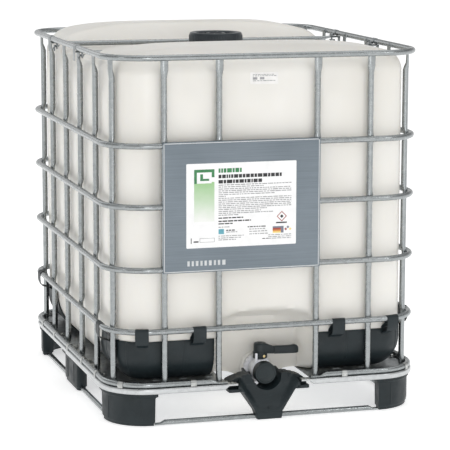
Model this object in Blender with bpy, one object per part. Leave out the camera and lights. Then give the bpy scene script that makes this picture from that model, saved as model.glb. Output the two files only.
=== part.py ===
"""Intermediate bulk container: a blow-moulded bottle in a tubular steel cage on a composite pallet.

Metres, +Z up. The origin is on the floor, under the middle of the container. +X is to the right when
the discharge valve is faced, and the valve is on the -Y side.
"""

import math

import bmesh
import bpy
from mathutils import Vector

# ---------------------------------------------------------------- driving dimensions
PALLET_HALF = (0.500, 0.600)      # the rim's outer face, half of 1000 by 1200
PLAN_RADIUS = 0.140               # vertical corners of the rim
CORNER_STEPS = 5                  # facets round each corner, so that parallel outlines nest
GAP = 0.0005                      # clearance between pieces that touch in use

CAGE_INSET = 0.0015               # the cage's outer face behind the rim's
TUBE_R = 0.009                    # cage tube, 18 across
RING_HEIGHTS = (1.106, 0.847, 0.665, 0.476, 0.289, 0.127)
FRONT_BAR_X = (-0.323, -0.154, 0.154, 0.323)
SIDE_BAR_Y = (-0.497, -0.314, -0.104, 0.104, 0.314, 0.497)
CROSSBAR_Y = (-0.150, 0.225)
CROSSBAR_R = 0.008

RIM_DEPTH = 0.030
RIM_BOTTOM, RIM_TOP = 0.0995, 0.1175
DECK_THICK = 0.0035
FOOT_TOP = RIM_BOTTOM - GAP
BASE_TUBE_R = 0.008
BASE_TUBE_Y = (-0.578, 0.568)     # the front and rear runners' centre lines
BASE_TUBE_X = 0.468
NOTCH_HALF, NOTCH_REAR = 0.132, -0.262    # the deck and bottom tube stop here, round the valve
FOOT_OUT, FOOT_WIDTH = 0.127, 0.036       # corner feet: outer radius and wall
FOOT_SIDE_END = 1.015                     # along the quarter outline, where a corner foot ends
MIDDLE_HALF = 0.085                       # half length of a middle foot
FOOT_REACH = {"left": 0.487, "right": 0.487, "rear": 0.587}
RIM_GAP_HALF = 0.100
COVER_TOP = 0.253

WALL = 0.003                      # bottle wall
BOTTLE_BOTTOM = RIM_TOP + GAP + DECK_THICK + GAP
BOTTOM_RADIUS = 0.090
TOP_RADIUS = 0.050
CHANNEL_Z = 1.071
FRONT_CREST, REAR_CREST, EDGE_CREST = 1.124, 1.145, 1.098
CHANNEL_Y = (-0.165, 0.255)
PANEL_BULGE = 0.010

NECK_R, NECK_TOP = 0.0775, 1.124
LID_R, LID_TOP, LID_BOTTOM = 0.087, 1.1335, 1.090

VALVE_Z = 0.133                   # centre line of the outlet
STEM_Y = -0.495
NICHE_HALF, NICHE_WALL_Y = 0.154, -0.445
SPIGOT_R, BORE_R = 0.030, 0.0245
CAP_R, CAP_FACE_Y = 0.0350, -0.558

PLATE_X = (-0.335, 0.155)
PLATE_Z = (0.4655, 0.8580)
PLATE_THICK = 0.0010

CAGE_HALF = tuple(half - CAGE_INSET for half in PALLET_HALF)
CORNER_CENTRE = tuple(half - PLAN_RADIUS for half in PALLET_HALF)
RING_OUT = PLAN_RADIUS - CAGE_INSET                    # radii about the corner's centre
RING_MID = RING_OUT - TUBE_R
BAR_MID = RING_OUT - 3 * TUBE_R - GAP
BOTTLE_OUT = BAR_MID - TUBE_R - 0.0054

# ---------------------------------------------------------------- colours: colour, metallic, roughness
STEEL = ((0.55, 0.57, 0.59), 1.0, 0.32)
PLATE = ((0.34, 0.39, 0.44), 0.9, 0.42)
BLACK = ((0.035, 0.045, 0.050), 0.0, 0.45)
BOTTLE = ((0.84, 0.82, 0.77), 0.0, 0.38)
WHITE = ((0.72, 0.74, 0.77), 0.0, 0.35)
SEAL = ((0.05, 0.05, 0.05), 0.0, 0.70)


# ---------------------------------------------------------------- mesh helpers
def clear_scene():
    for old in list(bpy.data.objects):
        bpy.data.objects.remove(old, do_unlink=True)


def painted(obj, look):
    """Gives the object its own Principled material."""
    colour, metallic, roughness = look
    material = bpy.data.materials.new(obj.name + "_material")
    material.use_nodes = True
    shader = material.node_tree.nodes["Principled BSDF"]
    shader.inputs["Base Color"].default_value = (*colour, 1.0)
    shader.inputs["Metallic"].default_value = metallic
    shader.inputs["Roughness"].default_value = roughness
    obj.data.materials.append(material)
    return obj


def skin(name, loops, look=None, ring=False, origin=(0, 0, 0)):
    """A closed solid through equal loops of points: end loops are capped, or joined in a ring."""
    bm = bmesh.new()
    place = Vector(origin)
    rows = [[bm.verts.new(Vector(point) - place) for point in loop] for loop in loops]
    count = len(rows[0])
    pairs = list(zip(rows, rows[1:]))
    if ring:
        pairs.append((rows[-1], rows[0]))
    else:
        bm.faces.new(rows[0])
        bm.faces.new(rows[-1])
    for low, high in pairs:
        for i in range(count):
            j = (i + 1) % count
            bm.faces.new((low[i], low[j], high[j], high[i]))
    bmesh.ops.recalc_face_normals(bm, faces=bm.faces)
    mesh = bpy.data.meshes.new(name)
    bm.to_mesh(mesh)
    bm.free()
    mesh.shade_smooth()
    mesh.set_sharp_from_angle(angle=math.radians(35))
    obj = bpy.data.objects.new(name, mesh)
    obj.location = place
    bpy.context.collection.objects.link(obj)
    if look:
        painted(obj, look)
    return obj


def circle(centre, radius, axis, sides):
    """Points round a circle that faces along X, Y or Z."""
    points = []
    for i in range(sides):
        turn = 2 * math.pi * (i + 0.5) / sides
        u, v = radius * math.cos(turn), radius * math.sin(turn)
        offset = {"X": (0, u, v), "Y": (u, 0, v), "Z": (u, v, 0)}[axis]
        points.append(tuple(c + o for c, o in zip(centre, offset)))
    return points


def turned(name, profile, centre, axis, sides, look=None, ring=False, origin=(0, 0, 0)):
    """A turned piece: profile lists (radius, place along the axis)."""
    index = "XYZ".index(axis)
    loops = []
    for radius, along in profile:
        middle = list(centre)
        middle[index] = along
        loops.append(circle(middle, radius, axis, sides))
    return skin(name, loops, look, ring, origin)


def prism(name, outline, axis, low, high, look=None, origin=(0, 0, 0)):
    """An outline pushed from low to high along X, Y or Z."""
    def placed(pair, along):
        u, v = pair
        return {"X": (along, u, v), "Y": (u, along, v), "Z": (u, v, along)}[axis]
    loops = [[placed(pair, along) for pair in outline] for along in (low, high)]
    return skin(name, loops, look, origin=origin)


def box(name, low, high, look=None):
    outline = [(low[0], low[1]), (high[0], low[1]), (high[0], high[1]), (low[0], high[1])]
    return prism(name, outline, "Z", low[2], high[2], look)


def combine(obj, operation, helper):
    """Applies one exact Boolean and drops the helper."""
    modifier = obj.modifiers.new(operation.lower(), "BOOLEAN")
    modifier.operation = operation
    modifier.solver = "EXACT"
    modifier.object = helper
    bpy.context.view_layer.update()
    graph = bpy.context.evaluated_depsgraph_get()
    result = bpy.data.meshes.new_from_object(obj.evaluated_get(graph))
    obj.modifiers.clear()
    obj.data = result
    bpy.data.objects.remove(helper, do_unlink=True)


# ---------------------------------------------------------------- plan outlines
def smooth(value):
    value = min(1.0, max(0.0, value))
    return value * value * (3 - 2 * value)


def plan_outline(radius, front_stops=(), side_stops=(), rear_stops=None):
    """A rounded rectangle about the corner centres, anticlockwise from the front left.

    radius is measured from each corner's centre, so outlines of any radius are parallel."""
    cx, cy = CORNER_CENTRE
    rear_stops = front_stops if rear_stops is None else rear_stops
    points = []
    sides = (
        [(x, -cy - radius) for x in front_stops],
        [(cx + radius, y) for y in side_stops],
        [(x, cy + radius) for x in reversed(rear_stops)],
        [(-cx - radius, y) for y in reversed(side_stops)],
    )
    corners = ((cx, -cy, -90), (cx, cy, 0), (-cx, cy, 90), (-cx, -cy, 180))
    for stops, (mx, my, start) in zip(sides, corners):
        points.extend(stops)
        for step in range(CORNER_STEPS + 1):
            turn = math.radians(start + 90 * step / CORNER_STEPS)
            points.append((mx + radius * math.cos(turn), my + radius * math.sin(turn)))
    return points


def plan_point(along, radius):
    """A place on the quarter outline in the +X +Y corner, on the same facets as plan_outline.

    along is the distance from the corner centre's line: below 0 it runs along the end towards X = 0,
    from 0 to 1 round the corner, and above 1 along the side towards Y = 0."""
    cx, cy = CORNER_CENTRE
    if along < 0:
        return cx + along, cy + radius
    if along > 1:
        return cx + radius, cy - (along - 1)
    facet = min(CORNER_STEPS - 1, int(along * CORNER_STEPS))
    share = along * CORNER_STEPS - facet
    ends = [math.radians(90 * (1 - k / CORNER_STEPS)) for k in (facet, facet + 1)]
    turn_x = (1 - share) * math.cos(ends[0]) + share * math.cos(ends[1])
    turn_y = (1 - share) * math.sin(ends[0]) + share * math.sin(ends[1])
    return cx + radius * turn_x, cy + radius * turn_y


def swept_quarter(name, section, stops, corner, look=None):
    """Sweeps a section of (radius, height) pairs along the quarter outline, turned to one corner."""
    sx, sy = corner
    loops = []
    for stop in stops:
        loop = []
        for radius, height in section(stop):
            x, y = plan_point(stop, radius)
            loop.append((sx * x, sy * y, height))
        loops.append(loop)
    return skin(name, loops, look)


# ---------------------------------------------------------------- cage
def tube_ring(name, height, gap_half=0.0):
    """One bent tube round the cage. gap_half leaves the tube open at the front, round the valve."""
    stops = (-gap_half, gap_half) if gap_half else ()
    path = plan_outline(RING_MID, stops, (), ())
    if gap_half:
        path = path[1:] + path[:1]
    count = len(path)
    loops = []
    for i, (x, y) in enumerate(path):
        before = Vector(path[i - 1] if i or not gap_half else path[0])
        after = Vector(path[(i + 1) % count] if i < count - 1 or not gap_half else path[-1])
        here = Vector((x, y))
        one = (here - before).normalized() if (here - before).length else (after - here).normalized()
        two = (after - here).normalized() if (after - here).length else one
        along = (one + two).normalized()
        out = Vector((along.y, -along.x))
        loop = []
        for k in range(8):
            turn = 2 * math.pi * (k + 0.5) / 8
            reach = TUBE_R * math.cos(turn) / math.cos(math.pi / 8)
            rise = TUBE_R * math.sin(turn) / math.cos(math.pi / 8)
            reach = max(-TUBE_R, min(TUBE_R, reach))
            rise = max(-TUBE_R, min(TUBE_R, rise))
            loop.append((x + out.x * reach, y + out.y * reach, height + rise))
        loops.append(loop)
    return skin(name, loops, STEEL, ring=not gap_half)


def cage_rings():
    names = ("top", "2", "3", "4", "5")
    for name, height in zip(names, RING_HEIGHTS):
        tube_ring("cage_ring_" + name, height)
    tube_ring("cage_ring_bottom", RING_HEIGHTS[5], gap_half=NOTCH_HALF)


def upright(name, x, y):
    low = RIM_TOP + DECK_THICK + 3 * GAP
    high = RING_HEIGHTS[0] - 0.001
    loops = [circle((x, y, z), TUBE_R, "Z", 8) for z in (low, high)]
    return skin(name, loops, STEEL, origin=(x, y, low))


def cage_uprights():
    cx, cy = CORNER_CENTRE
    for i, x in enumerate(FRONT_BAR_X):
        upright("cage_bar_front_%d" % (i + 1), x, -cy - BAR_MID)
        upright("cage_bar_rear_%d" % (i + 1), x, cy + BAR_MID)
    for i, y in enumerate(SIDE_BAR_Y):
        past = max(0.0, abs(y) - cy)
        middle = BAR_MID - (0.0016 if past else 0.0)
        reach = cx + math.sqrt(middle ** 2 - past ** 2)
        upright("cage_bar_left_%d" % (i + 1), -reach, y)
        upright("cage_bar_right_%d" % (i + 1), reach, y)


def crossbars():
    """Two tubes over the bottle's top channel, and the straps that tie them to the top ring."""
    top = RING_HEIGHTS[0]
    height = top - TUBE_R - CROSSBAR_R - 2 * GAP
    reach = CAGE_HALF[0] - 0.003
    outer = CAGE_HALF[0] + 0.0002
    inner = CAGE_HALF[0] - 2 * TUBE_R - 0.0004
    strap = 0.0011
    for end, y in zip(("front", "rear"), CROSSBAR_Y):
        loops = [circle((x, y, height), CROSSBAR_R, "X", 8) for x in (-reach, reach)]
        skin("crossbar_" + end, loops, STEEL)
        for side, sign in (("left", -1), ("right", 1)):
            roof = top + TUBE_R + 0.0004
            outline = [
                (sign * outer, 1.064), (sign * (outer + strap), 1.064),
                (sign * (outer + strap), roof), (sign * outer, roof + strap),
                (sign * inner, roof + strap), (sign * (inner - strap), roof),
                (sign * (inner - strap), 1.0972), (sign * inner, 1.0972), (sign * inner, roof),
                (sign * outer, roof),
            ]
            prism("clamp_%s_%s" % (end, side), outline, "Y", y - 0.016, y + 0.016, STEEL)


def label_plate():
    front = -CAGE_HALF[1] - 0.0002
    face = front - PLATE_THICK
    back = front + 0.009
    low, high = PLATE_Z
    outline = [
        (face, low), (back, low), (back, low + PLATE_THICK), (front, low + PLATE_THICK),
        (front, high - PLATE_THICK), (back, high - PLATE_THICK), (back, high), (face, high),
    ]
    prism("label_plate", outline, "X", PLATE_X[0], PLATE_X[1], PLATE)


# ---------------------------------------------------------------- pallet
def pallet_rim():
    """A steel band under the deck, open at the front where the valve foot stands."""
    stops = (-RIM_GAP_HALF, RIM_GAP_HALF)
    outer = plan_outline(PLAN_RADIUS, stops, (), ())
    inner = plan_outline(PLAN_RADIUS - RIM_DEPTH, stops, (), ())
    loops = []
    for out, ins in zip(outer[1:] + outer[:1], inner[1:] + inner[:1]):
        loops.append([
            (*out, RIM_BOTTOM), (*out, RIM_TOP), (*ins, RIM_TOP), (*ins, RIM_BOTTOM),
        ])
    skin("pallet_rim", loops, STEEL)


def deck_pan():
    low = RIM_TOP + GAP
    outline = plan_outline(RING_OUT - 2 * TUBE_R - 2 * GAP)
    deck = prism("deck_pan", outline, "Z", low, low + DECK_THICK, STEEL)
    notch = box("cut", (-NOTCH_HALF, -0.7, 0.05), (NOTCH_HALF, NOTCH_REAR, 0.2))
    combine(deck, "DIFFERENCE", notch)


def corner_foot(name, corner):
    """A moulded foot that wraps the corner, with a flange under the rim."""
    sx, sy = corner

    def outline(grow):
        arc = [-0.003 - grow] + [i / CORNER_STEPS for i in range(CORNER_STEPS + 1)] + [FOOT_SIDE_END + grow]
        out = [plan_point(stop, FOOT_OUT + min(grow, 0.006)) for stop in arc]
        ins = [plan_point(stop, FOOT_OUT - FOOT_WIDTH - grow) for stop in reversed(arc)]
        return [(sx * x, sy * y) for x, y in out + ins]
    levels = ((-0.003, 0.0), (0.0, 0.004), (0.0, 0.090), (0.009, 0.0915), (0.009, FOOT_TOP))
    loops = [[(x, y, z) for x, y in outline(grow)] for grow, z in levels]
    skin(name, loops, BLACK)


def middle_foot(name, side):
    """A foot at the middle of one side, with a groove for the base tube. side is left, right or rear."""
    levels = ((-0.002, 0.0), (0.0, 0.004), (0.0, 0.088), (0.014, 0.0915), (0.014, FOOT_TOP))
    reach = FOOT_REACH[side]
    loops = []
    for grow, z in levels:
        out, back = reach + min(grow, 0.006), reach - FOOT_WIDTH - min(grow, 0.010)
        wide, narrow = MIDDLE_HALF + grow, MIDDLE_HALF - 0.022 + grow
        plan = [(out, -wide), (out, wide), (back + 0.010, wide - 0.008), (back, narrow),
                (back, -narrow), (back + 0.010, 0.008 - wide)]
        if side == "left":
            plan = [(-u, v) for u, v in plan]
        if side == "rear":
            plan = [(v, u) for u, v in plan]
        loops.append([(*pair, z) for pair in plan])
    foot = skin(name, loops, BLACK)
    mid, clear = reach - 0.019, BASE_TUBE_R + GAP
    low, high = (mid - clear, -0.3, -0.01), (mid + clear, 0.3, 2 * BASE_TUBE_R + 3 * GAP)
    if side == "left":
        low, high = (-high[0], low[1], low[2]), (-low[0], high[1], high[2])
    if side == "rear":
        low, high = (low[1], low[0], low[2]), (high[1], high[0], high[2])
    combine(foot, "DIFFERENCE", box("cut", low, high))


def valve_foot():
    """The front middle foot: a V under a cradle that guards the discharge valve."""
    cradle = 0.048
    right = [(0.038, 0.0), (0.0415, 0.022), (0.084, 0.0885), (0.129, 0.0885), (0.129, FOOT_TOP),
             (0.0985, FOOT_TOP), (0.0985, 0.116), (0.088, VALVE_Z), (cradle, VALVE_Z)]
    arc = []
    for i in range(1, 8):
        turn = math.pi * i / 8
        arc.append((cradle * math.cos(turn), VALVE_Z - cradle * math.sin(turn)))
    left = [(-x, z) for x, z in reversed(right)]
    foot = prism("valve_foot", right + arc + left, "Y", -0.594, -0.510, BLACK)
    mid, clear = BASE_TUBE_Y[0], BASE_TUBE_R + GAP
    cut = box("cut", (-0.3, mid - clear, -0.01), (0.3, mid + clear, 2 * BASE_TUBE_R + 3 * GAP))
    combine(foot, "DIFFERENCE", cut)


def base_tubes():
    height = BASE_TUBE_R + GAP
    end_x, end_y = CORNER_CENTRE[0] - 0.004, CORNER_CENTRE[1] - (FOOT_SIDE_END - 1) - 0.002
    for name, y in zip(("base_tube_front", "base_tube_rear"), BASE_TUBE_Y):
        loops = [circle((x, y, height), BASE_TUBE_R, "X", 8) for x in (-end_x, end_x)]
        skin(name, loops, STEEL)
    for name, x in (("base_tube_left", -BASE_TUBE_X), ("base_tube_right", BASE_TUBE_X)):
        loops = [circle((x, y, height), BASE_TUBE_R, "Y", 8) for y in (-end_y, end_y)]
        skin(name, loops, STEEL)


# ---------------------------------------------------------------- bottle
def pillow_top(x, y):
    """Height of the bottle's top before its channel is cut: a low dome at each end."""
    rear_share = smooth((y - CHANNEL_Y[0]) / (CHANNEL_Y[1] - CHANNEL_Y[0]))
    crest = FRONT_CREST + rear_share * (REAR_CREST - FRONT_CREST)
    ends = min(1.0, max(0.0, -0.36 - y, y - 0.42) / 0.15) ** 2
    across = min(1.0, abs(x) / 0.45) ** 4
    return crest - (crest - EDGE_CREST) * max(across, ends)


def channel(name, offset):
    """The cutter for the channel that crosses the top. offset makes it larger, for the inner skin."""
    front, rear = CHANNEL_Y
    low, high, lean = CHANNEL_Z - offset, CHANNEL_Z + 0.12, 0.13
    grow = 1.3 * offset
    outline = [(front - grow, low), (rear + grow, low), (rear + grow + lean, high),
               (front - grow - lean, high)]
    return prism(name, outline, "X", -0.6, 0.6)


def panel_bulge(x, y, z):
    """How far the wall swells out between the uprights."""
    cx, cy = CORNER_CENTRE
    tall = smooth((z - 0.30) / 0.05) * smooth((1.03 - z) / 0.05)
    if abs(x) < cx and abs(y) > cy:
        bars, place = FRONT_BAR_X, x
    elif abs(y) < cy and abs(x) > cx:
        bars, place = SIDE_BAR_Y, y
    else:
        return 0.0
    for low, high in zip(bars, bars[1:]):
        if low <= place <= high:
            return PANEL_BULGE * tall * math.sin(math.pi * (place - low) / (high - low)) ** 2
    return 0.0


def in_niche(x, y, z, depth_y, grow):
    """Moves a front wall point back into the valve niche."""
    wide = smooth((NICHE_HALF + grow - abs(x)) / 0.040)
    tall = smooth((0.335 + grow - z) / 0.055)
    if y < depth_y and wide * tall > 0:
        return y + (depth_y - y) * wide * tall
    return y


def sump(x, y, z):
    """How far the floor drops towards the outlet."""
    wide = smooth((0.105 - abs(x)) / 0.06)
    front = smooth((-0.345 - y) / 0.05)
    return 0.016 * wide * front * max(0.0, 1 - (z - BOTTLE_BOTTOM) / 0.10)


def bottle_loops(offset):
    """Loops of the bottle's skin from the floor's middle to the neck, moved inwards by offset."""
    front = (-0.323, -0.2385, -0.154, -0.115, -0.077, -0.038, 0.0,
             0.038, 0.077, 0.115, 0.154, 0.2385, 0.323)
    rear = (-0.323, -0.2385, -0.154, -0.077, 0.0, 0.077, 0.154, 0.2385, 0.323)
    side = (-0.40, -0.314, -0.209, -0.104, 0.0, 0.104, 0.209, 0.314, 0.40)

    def plan(inset):
        shrink = BOTTLE_OUT - inset
        if shrink > 0.012:
            return plan_outline(shrink, front, side, rear)
        scale = 1 + (shrink - 0.012) / 0.40
        return [(x * scale, y * scale) for x, y in plan_outline(0.012, front, side, rear)]
    bottom, loops = BOTTLE_BOTTOM + offset, []

    def wall(inset, height):
        loop = []
        for x, y in plan(inset):
            z = height(x, y) if callable(height) else height
            out = panel_bulge(x, y, z) if inset <= offset else 0.0
            if out and abs(y) > CORNER_CENTRE[1]:
                y += math.copysign(out, y)
            elif out:
                x += math.copysign(out, x)
            y = in_niche(x, y, z, NICHE_WALL_Y + offset, offset * 1.8)
            loop.append((x, y, z - sump(x, y, z)))
        return loop
    for inset in (0.40, 0.25, 0.15):
        loops.append(wall(inset, bottom))
    edge = BOTTOM_RADIUS - offset
    for degrees in (0, 25, 50, 70, 90):
        turn = math.radians(degrees)
        loops.append(wall(offset + edge * (1 - math.sin(turn)), bottom + edge * (1 - math.cos(turn))))
    for z in (0.250, 0.280, 0.310, 0.345, 0.980):
        loops.append(wall(offset, z))
    shoulder = TOP_RADIUS - offset
    for degrees in (0, 30, 60, 90):
        turn = math.radians(degrees)

        def height(x, y, lift=shoulder * math.sin(turn)):
            return pillow_top(x, y) - TOP_RADIUS + lift
        loops.append(wall(offset + shoulder * (1 - math.cos(turn)), height))
    for inset in (0.12, 0.22, 0.33, 0.42):
        loops.append(wall(inset, lambda x, y: pillow_top(x, y) - offset))
    return loops


def bottle():
    """The outer skin less the inner one, then the neck and the outlet spigot."""
    axis, outlet = (0, 0, 0), (0, 0, VALVE_Z)
    shell = skin("bottle", bottle_loops(0.0), BOTTLE)
    hollow = skin("hollow", bottle_loops(WALL))
    combine(shell, "DIFFERENCE", channel("cut", 0.0))
    combine(hollow, "DIFFERENCE", channel("cut", WALL))
    neck = [(NECK_R, CHANNEL_Z - 0.02), (NECK_R, NECK_TOP)]
    combine(shell, "UNION", turned("cut", neck, axis, "Z", 28))
    combine(shell, "DIFFERENCE", hollow)
    bore = [(NECK_R - 0.004, CHANNEL_Z - 0.04), (NECK_R - 0.004, NECK_TOP + 0.02)]
    combine(shell, "DIFFERENCE", turned("cut", bore, axis, "Z", 28))
    combine(shell, "UNION", turned("cut", [(SPIGOT_R, -0.430), (SPIGOT_R, -0.468)], outlet, "Y", 20))
    combine(shell, "DIFFERENCE", turned("cut", [(BORE_R, -0.380), (BORE_R, -0.480)], outlet, "Y", 20))


def corner_cover(name, corner):
    """A black shell round the bottle's lower corner, hooked over the fifth ring."""
    inner, outer = BOTTLE_OUT + 0.0004, BOTTLE_OUT + 0.0032
    bottom, edge = BOTTLE_BOTTOM, BOTTOM_RADIUS
    angles = [math.radians(a) for a in (25, 50, 70, 90)]

    def wall(radius, lift):
        grow = radius - BOTTLE_OUT
        return [(radius - (edge + grow) * (1 - math.sin(a)), bottom + edge - (edge + grow) * math.cos(a))
                for a in angles] + [(radius, lift)]

    def section(stop):
        return wall(outer, COVER_TOP) + list(reversed(wall(inner, COVER_TOP)))
    stops = [-0.195, -0.10] + [i / CORNER_STEPS for i in range(CORNER_STEPS + 1)] + [1.10, 1.185]
    cover = swept_quarter(name, section, stops, corner, BLACK)
    ring = RING_HEIGHTS[4]
    over = ring + TUBE_R + 0.0004
    skin_in, skin_out = RING_OUT - 2 * TUBE_R - 0.0004, RING_OUT + 0.0002
    strap = 0.0012

    def hook(stop):
        return [(inner + 0.0006, 0.240), (outer, 0.240), (outer, 0.262), (skin_in, 0.274),
                (skin_in, over), (skin_out, over), (skin_out, 0.276), (skin_out + strap, 0.276),
                (skin_out + strap, over), (skin_out, over + strap), (skin_in - 0.0015, over + strap),
                (skin_in - strap, 0.276), (inner + 0.0006, 0.264)]
    for ends in ((-0.160, -0.120), (0.065, 0.2, 0.26), (1.000, 1.040)):
        combine(cover, "UNION", swept_quarter("cut", hook, ends, corner))


# ---------------------------------------------------------------- filler lid
def filler_lid():
    inside, skirt = LID_TOP - 0.0065, LID_R - 0.0075
    outside = [(0.020, inside + 0.003), (0.056, inside + 0.003), (0.060, LID_TOP - 0.001),
               (LID_R - 0.004, LID_TOP), (LID_R, LID_TOP - 0.004), (LID_R, LID_BOTTOM)]
    lid = turned("filler_lid", list(reversed(outside)), (0, 0, 0), "Z", 28, BLACK,
                 origin=(0, 0, LID_BOTTOM))
    hollow = [(skirt, LID_BOTTOM - 0.01), (skirt, inside)]
    combine(lid, "DIFFERENCE", turned("cut", hollow, (0, 0, 0), "Z", 28))
    seal = [(NECK_R - 0.004, NECK_TOP + 0.0004), (NECK_R + 0.001, NECK_TOP + 0.0004),
            (NECK_R + 0.001, inside - 0.0004), (NECK_R - 0.004, inside - 0.0004)]
    turned("lid_seal", seal, (0, 0, 0), "Z", 28, SEAL, ring=True, origin=(0, 0, NECK_TOP))


# ---------------------------------------------------------------- discharge valve
def valve():
    centre = (0, 0, VALVE_Z)
    rear, front = -0.4688, CAP_FACE_Y + 0.0075
    body = turned("valve_body", [(0.0295, rear), (0.0295, -0.478), (0.034, -0.480), (0.034, -0.518),
                                 (0.0308, -0.521), (0.0308, front)], centre, "Y", 24, WHITE)
    boss = [(0.0175, VALVE_Z), (0.0175, VALVE_Z + 0.0345)]
    combine(body, "UNION", turned("cut", boss, (0, STEM_Y, 0), "Z", 20))
    combine(body, "DIFFERENCE", turned("cut", [(BORE_R, -0.44), (BORE_R, -0.60)], centre, "Y", 24))
    stem_bore = turned("cut", [(0.0066, VALVE_Z), (0.0066, VALVE_Z + 0.05)], (0, STEM_Y, 0), "Z", 16)
    combine(body, "DIFFERENCE", stem_bore)

    nut = [(SPIGOT_R + 0.0006, -0.4722), (0.040, -0.4722), (0.043, -0.4695), (0.043, -0.4535),
           (0.040, -0.4508), (SPIGOT_R + 0.0006, -0.4508)]
    turned("union_nut", nut, centre, "Y", 20, WHITE, ring=True)

    disc = turned("valve_disc", [(0.0238, STEM_Y - 0.0025), (0.0238, STEM_Y + 0.0025)], centre, "Y", 24,
                  WHITE, origin=(0, STEM_Y, VALVE_Z))
    stem = turned("cut", [(0.0060, VALVE_Z - 0.015), (0.0060, VALVE_Z + 0.0815)], (0, STEM_Y, 0), "Z", 16)
    combine(disc, "UNION", stem)

    rises = [(0.0215, 0.0352), (0.0215, 0.0495), (0.0200, 0.0505), (0.0200, 0.0800), (0.0180, 0.0840)]
    handle = turned("valve_handle", [(radius, VALVE_Z + rise) for radius, rise in rises], (0, STEM_Y, 0),
                    "Z", 20, BLACK, origin=(0, STEM_Y, VALVE_Z + rises[0][1]))
    lever = []
    for x, half, rise, tall in ((0.008, 0.017, 0.052, 0.026), (0.034, 0.0115, 0.050, 0.023),
                                (0.042, 0.0090, 0.048, 0.020), (0.108, 0.0100, 0.046, 0.021),
                                (0.120, 0.0070, 0.048, 0.018)):
        low, high = VALVE_Z + rise, VALVE_Z + rise + tall
        lever.append([(x, STEM_Y - half, low), (x, STEM_Y + half, low),
                      (x, STEM_Y + half, high), (x, STEM_Y - half, high)])
    combine(handle, "UNION", skin("cut", lever))
    socket = turned("cut", [(0.0064, VALVE_Z), (0.0064, VALVE_Z + 0.0820)], (0, STEM_Y, 0), "Z", 16)
    combine(handle, "DIFFERENCE", socket)

    inside = CAP_FACE_Y + 0.004
    seal = [(BORE_R, front - 0.0004), (0.0315, front - 0.0004), (0.0315, inside + 0.0004),
            (BORE_R, inside + 0.0004)]
    turned("outlet_seal", seal, centre, "Y", 24, SEAL, ring=True, origin=(0, front, VALVE_Z))
    cap = turned("outlet_cap", [(0.0330, CAP_FACE_Y), (CAP_R, CAP_FACE_Y + 0.003), (CAP_R, -0.5285)],
                 centre, "Y", 24, BLACK, origin=(0, CAP_FACE_Y, VALVE_Z))
    combine(cap, "DIFFERENCE", turned("cut", [(0.0320, inside), (0.0320, -0.50)], centre, "Y", 24))


def build():
    clear_scene()
    cage_rings()
    cage_uprights()
    crossbars()
    label_plate()
    pallet_rim()
    deck_pan()
    for end, sy in (("front", -1), ("rear", 1)):
        for side, sx in (("left", -1), ("right", 1)):
            corner_foot("corner_foot_%s_%s" % (end, side), (sx, sy))
            corner_cover("corner_cover_%s_%s" % (end, side), (sx, sy))
    for side in ("left", "right", "rear"):
        middle_foot("middle_foot_" + side, side)
    valve_foot()
    base_tubes()
    bottle()
    filler_lid()
    valve()


build()
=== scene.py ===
import math
import random

import bmesh
import bpy
from mathutils import Matrix, Vector


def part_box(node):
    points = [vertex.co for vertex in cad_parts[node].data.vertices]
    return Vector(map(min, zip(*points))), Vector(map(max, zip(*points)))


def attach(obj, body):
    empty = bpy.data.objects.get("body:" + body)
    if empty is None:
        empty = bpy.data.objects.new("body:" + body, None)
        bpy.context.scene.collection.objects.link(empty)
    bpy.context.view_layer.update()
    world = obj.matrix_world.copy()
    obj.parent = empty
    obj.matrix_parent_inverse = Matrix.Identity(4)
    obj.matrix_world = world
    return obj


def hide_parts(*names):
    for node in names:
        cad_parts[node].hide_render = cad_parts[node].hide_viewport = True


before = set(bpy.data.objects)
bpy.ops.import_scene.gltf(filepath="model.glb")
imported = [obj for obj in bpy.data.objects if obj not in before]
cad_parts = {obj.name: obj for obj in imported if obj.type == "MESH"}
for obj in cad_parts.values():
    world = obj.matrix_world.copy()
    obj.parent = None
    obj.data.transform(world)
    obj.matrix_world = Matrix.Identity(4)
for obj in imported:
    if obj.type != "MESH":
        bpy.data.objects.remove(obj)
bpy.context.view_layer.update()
draw = random.Random(7)

# ---------------------------------------------------------------- sizes shared with the frame, in metres
CORNER_CENTRE = (0.36, 0.46)
TUBE_R = 0.009
RING_MID, RING_OUT = 0.1295, 0.1385
RINGS = {"top": 1.106, "2": 0.847, "3": 0.665, "4": 0.476, "5": 0.289}
BOTTOM_RING = 0.127
FRONT_BARS = (-0.323, -0.154, 0.154, 0.323)
SIDE_BARS = (-0.497, -0.314, -0.104, 0.104, 0.314, 0.497)
BOTTLE_OUT = 0.0966
BOTTLE_BOTTOM, BOTTOM_RADIUS, TOP_RADIUS = 0.1225, 0.090, 0.050
CHANNEL_Z, CHANNEL_Y = 1.071, (-0.165, 0.255)
FRONT_CREST, REAR_CREST, EDGE_CREST = 1.124, 1.145, 1.098
VALVE_Z, STEM_Y = 0.133, -0.495
FOOT_OUT, FOOT_WIDTH, FOOT_SIDE_END, MIDDLE_HALF = 0.127, 0.036, 1.015, 0.085


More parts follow.
